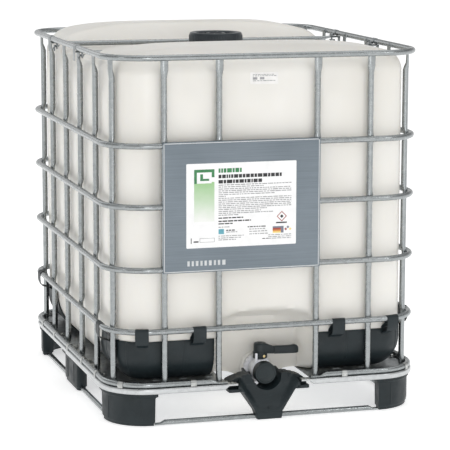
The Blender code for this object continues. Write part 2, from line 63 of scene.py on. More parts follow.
# ---------------------------------------------------------------- procedural materials
class Look:
    """A Principled material whose colour, roughness and bump come from noise in object space."""

    def __init__(self, name, metallic=0.0, **sockets):
        self.material = bpy.data.materials.new(name)
        self.material.use_nodes = True
        self.nodes = self.material.node_tree.nodes
        self.links = self.material.node_tree.links
        self.shader = self.nodes["Principled BSDF"]
        self.shader.inputs["Metallic"].default_value = metallic
        for socket, value in sockets.items():
            self.shader.inputs[socket.replace("_", " ")].default_value = value
        self.place = self.nodes.new("ShaderNodeTexCoord").outputs["Object"]
        self.normal = None

    def node(self, kind, inputs, **settings):
        made = self.nodes.new("ShaderNode" + kind)
        for key, value in settings.items():
            setattr(made, key, value)
        for key, value in inputs.items():
            if isinstance(value, bpy.types.NodeSocket):
                self.links.new(value, made.inputs[key])
            else:
                made.inputs[key].default_value = value
        return made

    def noise(self, scale, detail=3.0, stretch=None, distortion=0.0):
        place = self.place
        if stretch:
            place = self.node("Mapping", {"Vector": place, "Scale": stretch}).outputs["Vector"]
        inputs = {"Vector": place, "Scale": scale, "Detail": detail, "Distortion": distortion}
        return self.node("TexNoise", inputs).outputs["Fac"]

    def cells(self, scale):
        return self.node("TexVoronoi", {"Vector": self.place, "Scale": scale}).outputs["Color"]

    def axis(self, which):
        return self.node("SeparateXYZ", {"Vector": self.place}).outputs[which]

    def span(self, value, low, high, start=0.3, end=0.7):
        inputs = {"Value": value, "From Min": start, "From Max": end, "To Min": low, "To Max": high}
        return self.node("MapRange", inputs).outputs["Result"]

    def ramp(self, value, *stops):
        made = self.node("ValToRGB", {"Fac": value})
        band = made.color_ramp
        while len(band.elements) < len(stops):
            band.elements.new(0.5)
        for element, (place, colour) in zip(band.elements, stops):
            element.position = place
            element.color = (*colour, 1.0)
        return made.outputs["Color"]

    def mix(self, share, one, two):
        made = self.node("Mix", {}, data_type="RGBA", blend_type="MIX")
        for index, value in ((0, share), (6, one), (7, two)):
            if isinstance(value, bpy.types.NodeSocket):
                self.links.new(value, made.inputs[index])
            elif index:
                made.inputs[index].default_value = (*value, 1.0)
            else:
                made.inputs[index].default_value = value
        return made.outputs[2]

    def colour(self, output):
        self.links.new(output, self.shader.inputs["Base Color"])

    def roughness(self, output):
        self.links.new(output, self.shader.inputs["Roughness"])

    def bump(self, height, strength, distance):
        inputs = {"Height": height, "Strength": strength, "Distance": distance}
        if self.normal:
            inputs["Normal"] = self.normal
        self.normal = self.node("Bump", inputs).outputs["Normal"]
        self.links.new(self.normal, self.shader.inputs["Normal"])


def galvanised(name, dark, light, rough=(0.24, 0.40)):
    look = Look(name, 1.0)
    spangle = look.mix(0.5, look.cells(90.0), look.noise(26.0, 4.0))
    base = look.ramp(spangle, (0.30, dark), (0.70, light))
    streak = look.span(look.noise(7.0, 5.0, (1, 1, 0.35)), 0.0, 0.30, 0.55, 0.75)
    look.colour(look.mix(streak, base, tuple(0.80 * c for c in dark)))
    look.roughness(look.span(look.noise(38.0, 4.0), *rough))
    look.bump(look.noise(420.0, 2.0), 0.08, 0.0003)
    look.bump(look.noise(30.0, 3.0), 0.05, 0.0006)
    return look.material


def brushed_sheet(name, dark, light):
    look = Look(name, 1.0)
    lines = look.noise(9.0, 6.0, (0.6, 60, 60))
    cloud = look.noise(5.0, 4.0)
    base = look.ramp(look.mix(0.35, lines, cloud), (0.36, dark), (0.64, light))
    look.colour(base)
    look.roughness(look.span(lines, 0.42, 0.58))
    look.bump(lines, 0.16, 0.0004)
    return look.material


def blow_moulded(name):
    look = Look(name, Subsurface_Weight=0.22, Subsurface_Radius=(0.030, 0.027, 0.022),
                Subsurface_Scale=0.6, Coat_Weight=0.12, Coat_Roughness=0.32)
    cloud = look.noise(2.6, 4.0, (1, 1, 0.6))
    base = look.ramp(cloud, (0.30, (0.735, 0.715, 0.665)), (0.72, (0.830, 0.815, 0.775)))
    flow = look.span(look.noise(9.0, 3.0, (1, 1, 0.12)), 0.0, 0.35, 0.5, 0.8)
    look.colour(look.mix(flow, base, (0.70, 0.675, 0.62)))
    look.roughness(look.span(look.noise(14.0, 3.0), 0.30, 0.42))
    look.bump(look.noise(260.0, 2.0), 0.07, 0.0006)
    look.bump(look.noise(11.0, 2.0), 0.22, 0.003)
    return look.material


def moulded(name, dark, light, rough=(0.40, 0.58), grain=900.0, scuff=0.35):
    look = Look(name, Specular_IOR_Level=0.38)
    base = look.ramp(look.noise(16.0, 4.0), (0.32, dark), (0.70, light))
    marks = look.span(look.noise(55.0, 6.0, (1, 1, 2.5), 1.2), 0.0, scuff, 0.60, 0.78)
    low = look.span(look.axis("Z"), 0.22, 0.0, 0.0, 0.04)
    dusty = look.mix(low, base, tuple(min(1.0, 1.8 * c + 0.010) for c in light))
    look.colour(look.mix(marks, dusty, tuple(min(1.0, 1.5 * c + 0.012) for c in light)))
    look.roughness(look.span(look.noise(34.0, 4.0), *rough))
    look.bump(look.noise(grain, 2.0), 0.12, 0.0004)
    look.bump(look.noise(24.0, 2.0), 0.10, 0.0012)
    return look.material


def paper(name, dark, light):
    look = Look(name)
    look.colour(look.ramp(look.noise(40.0, 5.0), (0.35, dark), (0.65, light)))
    look.roughness(look.span(look.noise(60.0, 3.0), 0.38, 0.48))
    look.bump(look.noise(700.0, 3.0), 0.05, 0.0001)
    return look.material


def fading_panel(name, high, low, strong, pale):
    """Print that fades from strong at the top to pale at the bottom."""
    look = Look(name)
    share = look.span(look.axis("Z"), 0.0, 1.0, low, high)
    grain = look.span(look.noise(30.0, 4.0), -0.06, 0.06)
    mixed = look.node("Math", {0: share, 1: grain}, operation="ADD").outputs[0]
    look.colour(look.ramp(mixed, (0.0, pale), (0.45, tuple((a + b) / 2 for a, b in zip(strong, pale))),
                          (1.0, strong)))
    look.roughness(look.span(look.noise(60.0, 3.0), 0.38, 0.48))
    return look.material


STEEL = galvanised("galvanised_tube", (0.30, 0.32, 0.325), (0.35, 0.37, 0.375), (0.24, 0.30))
STRAP = galvanised("galvanised_strap", (0.26, 0.28, 0.29), (0.38, 0.40, 0.41), (0.30, 0.46))
DECK = galvanised("galvanised_deck", (0.34, 0.36, 0.37), (0.52, 0.54, 0.55), (0.34, 0.50))
RIM = galvanised("galvanised_rim", (0.50, 0.515, 0.52), (0.56, 0.575, 0.58), (0.26, 0.34))
ZINC = galvanised("zinc_plate", (0.38, 0.39, 0.38), (0.52, 0.53, 0.52), (0.24, 0.36))
PLATE = brushed_sheet("brushed_plate", (0.165, 0.195, 0.220), (0.225, 0.260, 0.290))
HDPE = blow_moulded("bottle_hdpe")
BLACK = moulded("black_moulding", (0.0055, 0.0115, 0.0140), (0.0105, 0.0185, 0.0220))
LID = moulded("lid_moulding", (0.013, 0.019, 0.024), (0.022, 0.030, 0.036), (0.28, 0.40))
HANDLE = moulded("handle_moulding", (0.008, 0.015, 0.017), (0.014, 0.023, 0.026), (0.32, 0.48))
WHITE = moulded("white_moulding", (0.76, 0.78, 0.82), (0.86, 0.87, 0.90), (0.30, 0.42), 700.0, 0.12)
RUBBER = moulded("seal_rubber", (0.018, 0.018, 0.018), (0.032, 0.032, 0.032), (0.62, 0.80))
BRASS = galvanised("brass", (0.55, 0.42, 0.20), (0.80, 0.66, 0.36), (0.20, 0.34))
PAPER = paper("label_paper", (0.84, 0.84, 0.84), (0.90, 0.90, 0.90))
STICKER = paper("sticker_paper", (0.80, 0.79, 0.77), (0.88, 0.87, 0.85))
INK_BLACK = paper("ink_black", (0.012, 0.012, 0.014), (0.026, 0.026, 0.028))
INK_GREY = paper("ink_grey", (0.26, 0.26, 0.27), (0.36, 0.36, 0.37))
INK_GREEN = paper("ink_green", (0.028, 0.175, 0.060), (0.045, 0.235, 0.085))
INK_RED = paper("ink_red", (0.30, 0.045, 0.030), (0.38, 0.065, 0.045))
INK_ORANGE = paper("ink_orange", (0.62, 0.24, 0.05), (0.72, 0.31, 0.08))
INK_YELLOW = paper("ink_yellow", (0.80, 0.62, 0.18), (0.86, 0.70, 0.26))
INK_BLUE = paper("ink_blue", (0.10, 0.34, 0.42), (0.16, 0.44, 0.52))
INK_SLATE = paper("ink_slate", (0.13, 0.14, 0.19), (0.19, 0.20, 0.26))


# ---------------------------------------------------------------- mesh building
BEVEL_SEGMENTS = 3


def piece(name, parts, material, body="root", replaces=(), sharp=35.0, bevel=0.0):
    """One object from (points, faces) parts. It rides its body, and bevel rounds its sharp edges."""
    bm = bmesh.new()
    for points, faces in parts:
        made = [bm.verts.new(point) for point in points]
        for face in faces:
            bm.faces.new([made[i] for i in face])
    bmesh.ops.recalc_face_normals(bm, faces=bm.faces)
    mesh = bpy.data.meshes.new(name)
    bm.to_mesh(mesh)
    bm.free()
    mesh.shade_smooth()
    mesh.set_sharp_from_angle(angle=math.radians(sharp))
    mesh.materials.append(material)
    obj = bpy.data.objects.new(name, mesh)
    bpy.context.scene.collection.objects.link(obj)
    if bevel:
        modifier = obj.modifiers.new("edges", "BEVEL")
        modifier.width = bevel
        modifier.segments = BEVEL_SEGMENTS
        modifier.limit_method, modifier.angle_limit = "ANGLE", math.radians(sharp)
        modifier.use_clamp_overlap = True
    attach(obj, body)
    if replaces:
        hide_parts(*replaces)
    return obj


def loft(loops, ring=False):
    """Faces through equal loops; the end loops are capped unless ring joins them."""
    count, points, faces = len(loops[0]), [], []
    for loop in loops:
        points.extend(loop)
    rows = len(loops)
    for r in range(rows if ring else rows - 1):
        s = (r + 1) % rows
        for i in range(count):
            j = (i + 1) % count
            faces.append((r * count + i, r * count + j, s * count + j, s * count + i))
    if not ring:
        faces.append(tuple(range(count)))
        faces.append(tuple((rows - 1) * count + i for i in range(count)))
    return points, faces


def around(centre, radius, axis, steps, ripple=0.0, teeth=0):
    """Points round a circle across an axis; ripple and teeth make ribs."""
    points = []
    for i in range(steps):
        turn = 2 * math.pi * i / steps
        reach = radius
        if teeth:
            wave = math.cos(turn * teeth)
            reach += ripple * max(-0.5, min(0.5, wave * 1.6)) * 2
        u, v = reach * math.cos(turn), reach * math.sin(turn)
        offset = {"X": (0, u, v), "Y": (u, 0, v), "Z": (u, v, 0)}[axis]
        points.append(tuple(c + o for c, o in zip(centre, offset)))
    return points


def lathe(profile, centre, axis, steps=64, ring=False):
    """profile lists (radius, place along the axis) or adds (ripple, teeth) for ribs."""
    index, loops = "XYZ".index(axis), []
    for radius, along, *ribs in profile:
        middle = list(centre)
        middle[index] = along
        loops.append(around(middle, radius, axis, steps, *ribs))
    return loft(loops, ring)


def extrude(outline, axis, low, high):
    def at(pair, along):
        u, v = pair
        return {"X": (along, u, v), "Y": (u, along, v), "Z": (u, v, along)}[axis]
    return loft([[at(pair, low) for pair in outline], [at(pair, high) for pair in outline]])


def block(low, high):
    outline = [(low[0], low[1]), (high[0], low[1]), (high[0], high[1]), (low[0], high[1])]
    return extrude(outline, "Z", low[2], high[2])


def rounded(half_u, half_v, radius, steps=4):
    """A rounded rectangle as pairs."""
    pairs = []
    for su, sv, start in ((1, -1, -90), (1, 1, 0), (-1, 1, 90), (-1, -1, 180)):
        for i in range(steps + 1):
            turn = math.radians(start + 90 * i / steps)
            pairs.append((su * (half_u - radius) + radius * math.cos(turn),
                          sv * (half_v - radius) + radius * math.sin(turn)))
    return pairs


def tube(stations, sides=16, ring=False):
    """Stations list (centre, out, across, half out, half across): an elliptical section at each."""
    loops = []
    for centre, out, across, half_out, half_across in stations:
        loop = []
        for k in range(sides):
            turn = 2 * math.pi * k / sides
            point = (Vector(centre) + Vector(out) * half_out * math.cos(turn)
                     + Vector(across) * half_across * math.sin(turn))
            loop.append(tuple(point))
        loops.append(loop)
    return loft(loops, ring)


def blob(centre, axes, halves, rows=6, sides=10):
    """A small ellipsoid, for a weld bead."""
    loops = []
    for r in range(rows):
        turn = math.pi * (r + 0.5) / rows
        loop = []
        for k in range(sides):
            spin = 2 * math.pi * k / sides
            local = (halves[0] * math.sin(turn) * math.cos(spin),
                     halves[1] * math.sin(turn) * math.sin(spin), halves[2] * math.cos(turn))
            point = Vector(centre)
            for axis, length in zip(axes, local):
                point += Vector(axis) * length
            loop.append(tuple(point))
        loops.append(loop)
    return loft(loops)


def hex_bolt(centre, axis, across_flats, height, sign=1.0):
    """A hexagon head on a washer. centre is where the washer sits, sign is which way it stands."""
    index = "XYZ".index(axis)
    start = centre[index]
    washer = lathe([(across_flats * 0.92, start), (across_flats * 0.92, start + sign * 0.0012)],
                   centre, axis, 24)
    radius = across_flats / 2 / math.cos(math.pi / 6)
    head = lathe([(radius, start + sign * 0.0012), (radius, start + sign * (height - 0.0008)),
                  (radius * 0.86, start + sign * height)], centre, axis, 6)
    return [washer, head]


def smooth(value):
    value = min(1.0, max(0.0, value))
    return value * value * (3 - 2 * value)


def spread(low, high, count):
    return [low + (high - low) * i / (count - 1) for i in range(count)]


# ---------------------------------------------------------------- plan outlines
def plan(radius, arc=14, front=(), side=()):
    """(x, y, out x, out y) round the plan, anticlockwise from the front left."""
    cx, cy = CORNER_CENTRE
    runs = (
        [(x, -cy - radius, 0, -1) for x in front],
        [(cx + radius, y, 1, 0) for y in side],
        [(x, cy + radius, 0, 1) for x in reversed(front)],
        [(-cx - radius, y, -1, 0) for y in reversed(side)],
    )
    stations = []
    for run, (mx, my, start) in zip(runs, ((cx, -cy, -90), (cx, cy, 0), (-cx, cy, 90), (-cx, -cy, 180))):
        stations.extend(run)
        for step in range(arc + 1):
            turn = math.radians(start + 90 * step / arc)
            c, s = math.cos(turn), math.sin(turn)
            stations.append((mx + radius * c, my + radius * s, c, s))
    return stations


def quarter(along, radius):
    """A place at +X +Y: below 0 along the end, 0 to 1 round the corner, above 1 along the side."""
    cx, cy = CORNER_CENTRE
    if along < 0:
        return cx + along, cy + radius
    if along > 1:
        return cx + radius, cy - (along - 1)
    turn = math.radians(90 * (1 - along))
    return cx + radius * math.cos(turn), cy + radius * math.sin(turn)


# ---------------------------------------------------------------- cage
def hoop(name, node, height, gap=0.0):
    """One bent tube. gap leaves it open round the valve, with pressed ends."""
    stations = []
    path = plan(RING_MID, 16, (-gap, gap) if gap else ())
    if gap:
        path = path[1:] + path[:1]
        reach = path[0][1]
        lead = [(gap + d, reach, 0, -1) for d in (0.0, 0.030, 0.040, 0.050)]
        tail = [(-x, y, u, v) for x, y, u, v in reversed(lead)]
        path = lead + path[1:-1] + tail
    for i, (x, y, u, v) in enumerate(path):
        flat = 0.0
        if gap:
            from_end = min(i, len(path) - 1 - i)
            flat = {0: 1.0, 1: 1.0, 2: 0.45}.get(from_end, 0.0)
        thick = TUBE_R - 0.0052 * flat
        centre = (x, y, height - (TUBE_R - thick))
        stations.append((centre, (u, v, 0), (0, 0, 1), TUBE_R, thick))
    piece(name, [tube(stations, 18, ring=not gap)], STEEL, replaces=(node,))


def bar(node, ring_heights):
    """An upright, pressed flat where a hoop is welded to it and at its top end."""
    low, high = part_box(node)
    x, y = (low.x + high.x) / 2, (low.y + high.y) / 2
    if "front" in node or "rear" in node:
        out = Vector((0, math.copysign(1, y), 0))
    else:
        out = Vector((math.copysign(1, x), 0, 0))
        if abs(y) > CORNER_CENTRE[1]:
            out = Vector((abs(x) - CORNER_CENTRE[0], abs(y) - CORNER_CENTRE[1], 0)).normalized()
            out = Vector((math.copysign(out.x, x), math.copysign(out.y, y), 0))
    across = Vector((-out.y, out.x, 0))
    marks = {low.z: 0.25, low.z + 0.012: 0.0}
    for height in ring_heights:
        for offset, flat in ((-0.024, 0.0), (-0.016, 0.35), (-0.009, 0.9), (0.0, 1.0),
                             (0.009, 0.9), (0.016, 0.35), (0.024, 0.0)):
            marks[height + offset] = flat
    top = high.z
    for offset, flat in ((-0.060, 0.0), (-0.048, 0.7), (-0.038, 1.7), (-0.006, 2.0), (0.0, 2.0)):
        marks[top + offset] = flat
    stations = []
    for z in sorted(marks):
        if low.z <= z <= top:
            flat = marks[z]
            thick = TUBE_R - 0.0024 * flat
            wide = TUBE_R + 0.0016 * flat
            centre = Vector((x, y, z)) + out * (TUBE_R - thick + (0.0006 if flat > 0.5 else 0.0))
            stations.append((tuple(centre), tuple(out), tuple(across), thick, wide))
    piece(node.replace("cage_bar", "bar_tube"), [tube(stations, 18)], STEEL,
          replaces=(node,))
    return x, y, out, across


def cage():
    for tag, height in RINGS.items():
        hoop("hoop_" + tag, "cage_ring_" + tag, height)
    hoop("hoop_bottom", "cage_ring_bottom", BOTTOM_RING, gap=0.132)
    welds = []
    heights = [h for tag, h in RINGS.items() if tag != "top"]
    nodes = ["cage_bar_%s_%d" % (side, i + 1) for side in ("front", "rear") for i in range(4)]
    nodes += ["cage_bar_%s_%d" % (side, i + 1) for side in ("left", "right") for i in range(6)]
    for node in nodes:
        x, y, out, across = bar(node, heights)
        for height in heights + [RINGS["top"]]:
            base = Vector((x, y, height)) + out * (TUBE_R + 0.0002)
            for sign in (-1, 1):
                centre = base + across * 0.0088 * sign + Vector((0, 0, 0.001 * sign))
                welds.append(blob(centre, (across, Vector((0, 0, 1)), out), (0.0038, 0.0056, 0.0030)))
    piece("cage_welds", welds, STRAP, sharp=60)


def crossbars():
    for end in ("front", "rear"):
        low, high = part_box("crossbar_" + end)
        y, z, radius = (low.y + high.y) / 2, (low.z + high.z) / 2, 0.008
        reach = high.x - 0.0005
        stations = []
        marks = ((-reach, 1.0), (-reach + 0.030, 1.0), (-reach + 0.045, 0.5), (-reach + 0.060, 0.0),
                 (reach - 0.060, 0.0), (reach - 0.045, 0.5), (reach - 0.030, 1.0), (reach, 1.0))
        for x, flat in marks:
            thick = radius - 0.0046 * flat
            stations.append(((x, y, z + (radius - thick)), (0, 1, 0), (0, 0, 1), radius + 0.003 * flat,
                             thick))
        piece("crossbar_tube_" + end, [tube(stations, 16)], STEEL,
              replaces=("crossbar_" + end,))
        for side, sign in (("left", -1), ("right", 1)):
            node = "clamp_%s_%s" % (end, side)
            clamp(node, y, sign)


def clamp(node, y, sign):
    """A bent strap over the top hoop, with a bolt and nut through the crossbar's end."""
    low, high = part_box(node)
    outer = max(abs(low.x), abs(high.x)) - 0.0001
    roof = high.z - 0.0001
    ring = RINGS["top"]
    middle = RING_MID + CORNER_CENTRE[0]
    path = [(outer - 0.0005, low.z + 0.001), (outer - 0.0005, ring)]
    for i in range(1, 8):
        turn = math.pi * i / 8
        path.append((middle + 0.0099 * math.cos(turn),
                     ring + min(0.0099 * math.sin(turn), roof - ring - 0.0006)))
    path += [(middle - 0.0102, ring), (middle - 0.0104, 1.0985), (middle - 0.0235, 1.0975)]
    loops = []
    for i, (x, z) in enumerate(path):
        before, after = path[max(0, i - 1)], path[min(len(path) - 1, i + 1)]
        along = Vector((after[0] - before[0], after[1] - before[1])).normalized()
        nx, nz = -along.y * 0.0006, along.x * 0.0006
        wide = 0.0135 if i else 0.0105
        loops.append([(sign * (x + nx), y - wide, z + nz), (sign * (x + nx), y + wide, z + nz),
                      (sign * (x - nx), y + wide, z - nz), (sign * (x - nx), y - wide, z - nz)])
    place = (sign * (middle - 0.0165), y, 1.0982)
    under = (sign * (middle - 0.0165), y, 1.0845)
    stem = lathe([(0.003, 1.072), (0.003, 1.100)], place, "Z", 12)
    parts = [loft(loops), stem] + hex_bolt(place, "Z", 0.011, 0.0065) + hex_bolt(under, "Z", 0.011, 0.0070,
                                                                                 -1)
    tab = rounded(0.0085, 0.010, 0.004)
    tab = [(y + u, 1.0745 + v) for u, v in tab]
    parts.append(extrude(tab, "X", *sorted((sign * (middle - 0.0070), sign * (middle - 0.0086)))))
    parts += hex_bolt((sign * (middle - 0.0070), y, 1.072), "X", 0.009, 0.0045, sign)
    piece("strap_" + node, parts, STRAP, replaces=(node,), sharp=40)


# ---------------------------------------------------------------- bottle
def soft_low(a, b, k=0.016):
    h = min(1.0, max(0.0, 0.5 + 0.5 * (b - a) / k))
    return b * (1 - h) + a * h - k * h * (1 - h)


def bottle_top(x, y):
    rear = smooth((y - CHANNEL_Y[0]) / (CHANNEL_Y[1] - CHANNEL_Y[0]))
    crest = FRONT_CREST + rear * (REAR_CREST - FRONT_CREST)
    ends = min(1.0, max(0.0, -0.36 - y, y - 0.42) / 0.15) ** 2
    across = min(1.0, abs(x) / 0.45) ** 4
    dome = crest - (crest - EDGE_CREST) * max(across, ends)
    lean = 0.12 / 0.13
    floor = CHANNEL_Z + max(0.0, CHANNEL_Y[0] - y, y - CHANNEL_Y[1]) * lean
    return soft_low(dome, floor + 0.003)


def bulge(x, y, z):
    """The wall swells out between the uprights and, a little, between the hoops."""
    cx, cy = CORNER_CENTRE
    tall = smooth((z - 0.29) / 0.06) * smooth((1.04 - z) / 0.07)
    if abs(x) < cx and abs(y) > cy:
        bars, place = FRONT_BARS, x
    elif abs(y) < cy and abs(x) > cx:
        bars, place = SIDE_BARS, y
    else:
        return 0.0
    levels = sorted(RINGS.values())
    share = 0.0
    for low, high in zip(levels, levels[1:]):
        if low <= z <= high:
            share = math.sin(math.pi * (z - low) / (high - low)) ** 0.8
    for low, high in zip(bars, bars[1:]):
        if low <= place <= high:
            wide = math.sin(math.pi * (place - low) / (high - low)) ** 1.4
            return 0.0095 * tall * wide * (0.62 + 0.38 * share)
    return 0.0


def niche(x, y, z):
    wide = smooth((0.158 - abs(x)) / 0.030)
    roof = 0.338 - 0.030 * min(1.0, abs(x) / 0.154) ** 3
    tall = smooth((roof - z) / 0.050)
    back = -0.445
    return y + (back - y) * wide * tall if y < back else y


def sump(x, y, z):
    wide = smooth((0.105 - abs(x)) / 0.06)
    front = smooth((-0.345 - y) / 0.05)
    return 0.016 * wide * front * max(0.0, 1 - (z - BOTTLE_BOTTOM) / 0.10)


def bottle_shape():
    cx, cy = CORNER_CENTRE
    front, side = spread(-cx, cx, 58)[1:-1], spread(-cy, cy, 72)[1:-1]

    def outline(inset):
        radius = BOTTLE_OUT - inset
        if radius > 0.010:
            return [(x, y) for x, y, _, _ in plan(radius, 12, front, side)]
        scale = 1 + (radius - 0.010) / 0.36
        return [(x * scale, y * scale) for x, y, _, _ in plan(0.010, 12, front, side)]

    def loop(inset, height, walled=False):
        row = []
        for x, y in outline(inset):
            z = height(x, y) if callable(height) else height
            if walled:
                out = bulge(x, y, z)
                if abs(y) > cy:
                    y += math.copysign(out, y)
                else:
                    x += math.copysign(out, x)
            y = niche(x, y, z)
            row.append((x, y, z - sump(x, y, z)))
        return row
    loops = [loop(inset, BOTTLE_BOTTOM) for inset in (0.42, 0.34, 0.26, 0.20, 0.16, 0.13, 0.11)]
    for degrees in range(0, 91, 9):
        turn = math.radians(degrees)
        loops.append(loop(BOTTOM_RADIUS * (1 - math.sin(turn)),
                          BOTTLE_BOTTOM + BOTTOM_RADIUS * (1 - math.cos(turn)), degrees > 60))
    for z in spread(0.222, 0.98, 56):
        loops.append(loop(0.0, z, True))
    for share in (0.35, 0.7):
        loops.append(loop(0.0, lambda x, y: 0.98 + share * (bottle_top(x, y) - TOP_RADIUS - 0.98), True))
    for degrees in range(0, 91, 10):
        turn = math.radians(degrees)
        lift = TOP_RADIUS * math.sin(turn) - TOP_RADIUS
        loops.append(loop(TOP_RADIUS * (1 - math.cos(turn)), lambda x, y: bottle_top(x, y) + lift,
                          degrees < 50))
    for inset in spread(0.058, 0.440, 40):
        loops.append(loop(inset, bottle_top))
    return loft(loops)


def bottle():
    neck = lathe([(0.0735, 1.050), (0.0775, 1.060), (0.0775, 1.088), (0.0795, 1.090), (0.0775, 1.093),
                  (0.0775, 1.100), (0.0792, 1.102), (0.0775, 1.105), (0.0775, 1.110), (0.0792, 1.112),
                  (0.0775, 1.115), (0.0775, 1.1235), (0.0735, 1.1240), (0.0735, 1.062)],
                 (0, 0, 0), "Z", 72, ring=True)
    spigot = lathe([(0.0245, -0.440), (0.030, -0.440), (0.030, -0.468), (0.0245, -0.468)],
                   (0, 0, VALVE_Z), "Y", 48, ring=True)
    boss = lathe([(0.050, -0.440), (0.050, -0.4465), (0.046, -0.4500), (0.0245, -0.4500)],
                 (0, 0, VALVE_Z), "Y", 48, ring=True)
    piece("bottle_body", [bottle_shape(), neck, spigot, boss], HDPE, replaces=("bottle",),
          sharp=50)


def sticker():
    """A small plain tag on the bottle's upper front."""
    def patch(low, high, lift, thick, cols=12, rows=6):
        def at(x, z, more):
            top = bottle_top(x, -0.55)
            over = max(0.0, z - (top - TOP_RADIUS))
            back = TOP_RADIUS - math.sqrt(max(0.0, TOP_RADIUS ** 2 - over ** 2))
            return x, -(CORNER_CENTRE[1] + BOTTLE_OUT) - bulge(x, -0.55, z) + back - more, z
        loops = []
        for x in spread(low[0], high[0], cols):
            zs = spread(low[1], high[1], rows)
            loops.append([at(x, z, lift) for z in zs] + [at(x, z, lift + thick) for z in reversed(zs)])
        return loft(loops)
    piece("bottle_tag", [patch((-0.054, 1.019), (0.033, 1.054), 0.0006, 0.0003)], STICKER)
    marks = []
    for z in (1.0475, 1.0435, 1.0290):
        x = -0.046
        while x < 0.020:
            long = draw.uniform(0.004, 0.011)
            marks.append(patch((x, z - 0.0011), (x + long, z + 0.0011), 0.0009, 0.0002, 3, 2))
            x += long + 0.0022
    for x in (-0.046, -0.024):
        marks.append(patch((x, 1.0325), (x + 0.014, 1.0400), 0.0009, 0.0002, 3, 2))
    piece("bottle_tag_marks", marks, INK_GREY)


# ---------------------------------------------------------------- corner covers
def corner_cover(node, corner):
    sx, sy = corner
    inner, outer = BOTTLE_OUT + 0.0006, BOTTLE_OUT + 0.0034
    edge, top = BOTTOM_RADIUS, 0.253
    angles = [math.radians(a) for a in spread(27, 90, 9)]

    def place(along, radius, z):
        x, y = quarter(along, radius)
        return sx * x, sy * y, z

    def side_end(z):
        return 1.125 + 0.115 * smooth((top - 0.010 - z) / 0.11)

    def wall(grow, lift):
        pairs = [(BOTTLE_OUT + grow - (edge + grow) * (1 - math.sin(a)),
                  BOTTLE_BOTTOM + edge - (edge + grow) * math.cos(a)) for a in angles]
        return pairs + [(BOTTLE_OUT + grow, z) for z in spread(0.222, lift, 4)]
    out_side, in_side = wall(0.0034, top - 0.0012), wall(0.0006, top - 0.0010)
    section = out_side + [(outer - 0.0008, top), (inner + 0.0006, top)] + list(reversed(in_side))
    fractions = [-0.195, -0.190, -0.16, -0.12, -0.08, -0.04] + [i / 14 for i in range(15)]
    fractions += [1.0 + 0.125 * i / 8 for i in range(1, 9)]
    loops = []
    for fraction in fractions:
        loop = []
        for radius, z in section:
            along = fraction
            if fraction > 1.0:
                along = 1.0 + (fraction - 1.0) * (side_end(z) - 1.0) / 0.125
            ridge = 0.0012 if fraction == fractions[0] and radius > inner + 0.001 else 0.0
            loop.append(place(along, radius - ridge, z))
        loops.append(loop)
    parts = [loft(loops)]
    for at in (-0.100, 0.5, 1.070):
        strip = []
        for offset in (-0.0035, -0.0018, 0.0018, 0.0035):
            wide = offset if at != 0.5 else offset / BOTTLE_OUT / 1.57
            rise = 0.0012 if abs(offset) < 0.003 else 0.0
            pairs = [(r + rise, z) for r, z in out_side[3:]] + [(r - 0.001, z) for r,
                                                                z in reversed(out_side[3:])]
            strip.append([place(at + wide, r, z) for r, z in pairs])
        parts.append(loft(strip))
    for stops in (spread(-0.160, -0.120, 3), spread(0.085, 0.275, 6), spread(1.002, 1.042, 3)):
        parts.append(loft([[place(stop, r, z) for r, z in hook_profile(outer)] for stop in stops]))
    piece("shell_" + node, parts, BLACK, replaces=(node,), sharp=40)


def hook_profile(outer):
    """A strap from the cover's top up, over the fifth hoop and down its outside onto the cover."""
    ring, thick, reach = RINGS["5"], 0.0013, 0.0098
    path = [(outer - 0.0030, 0.236), (outer - 0.0030, 0.258), (RING_MID - 0.0117, 0.274)]
    path += [(RING_MID - reach * math.cos(math.pi * i / 10), ring + reach * math.sin(math.pi * i / 10))
             for i in range(11)]
    path += [(RING_MID + 0.0096, 0.272), (RING_MID + 0.0082, 0.262), (RING_MID + 0.0020, 0.250),
             (outer + 0.0060, 0.242), (outer + 0.0010, 0.236)]
    one, two = [], []
    for i, (r, z) in enumerate(path):
        before, after = path[max(0, i - 1)], path[min(len(path) - 1, i + 1)]
        along = Vector((after[0] - before[0], after[1] - before[1])).normalized()
        one.append((min(r - along.y * thick / 2, 0.1395), z + along.x * thick / 2))
        two.append((min(r + along.y * thick / 2, 0.1395), z - along.x * thick / 2))
    return one + list(reversed(two))


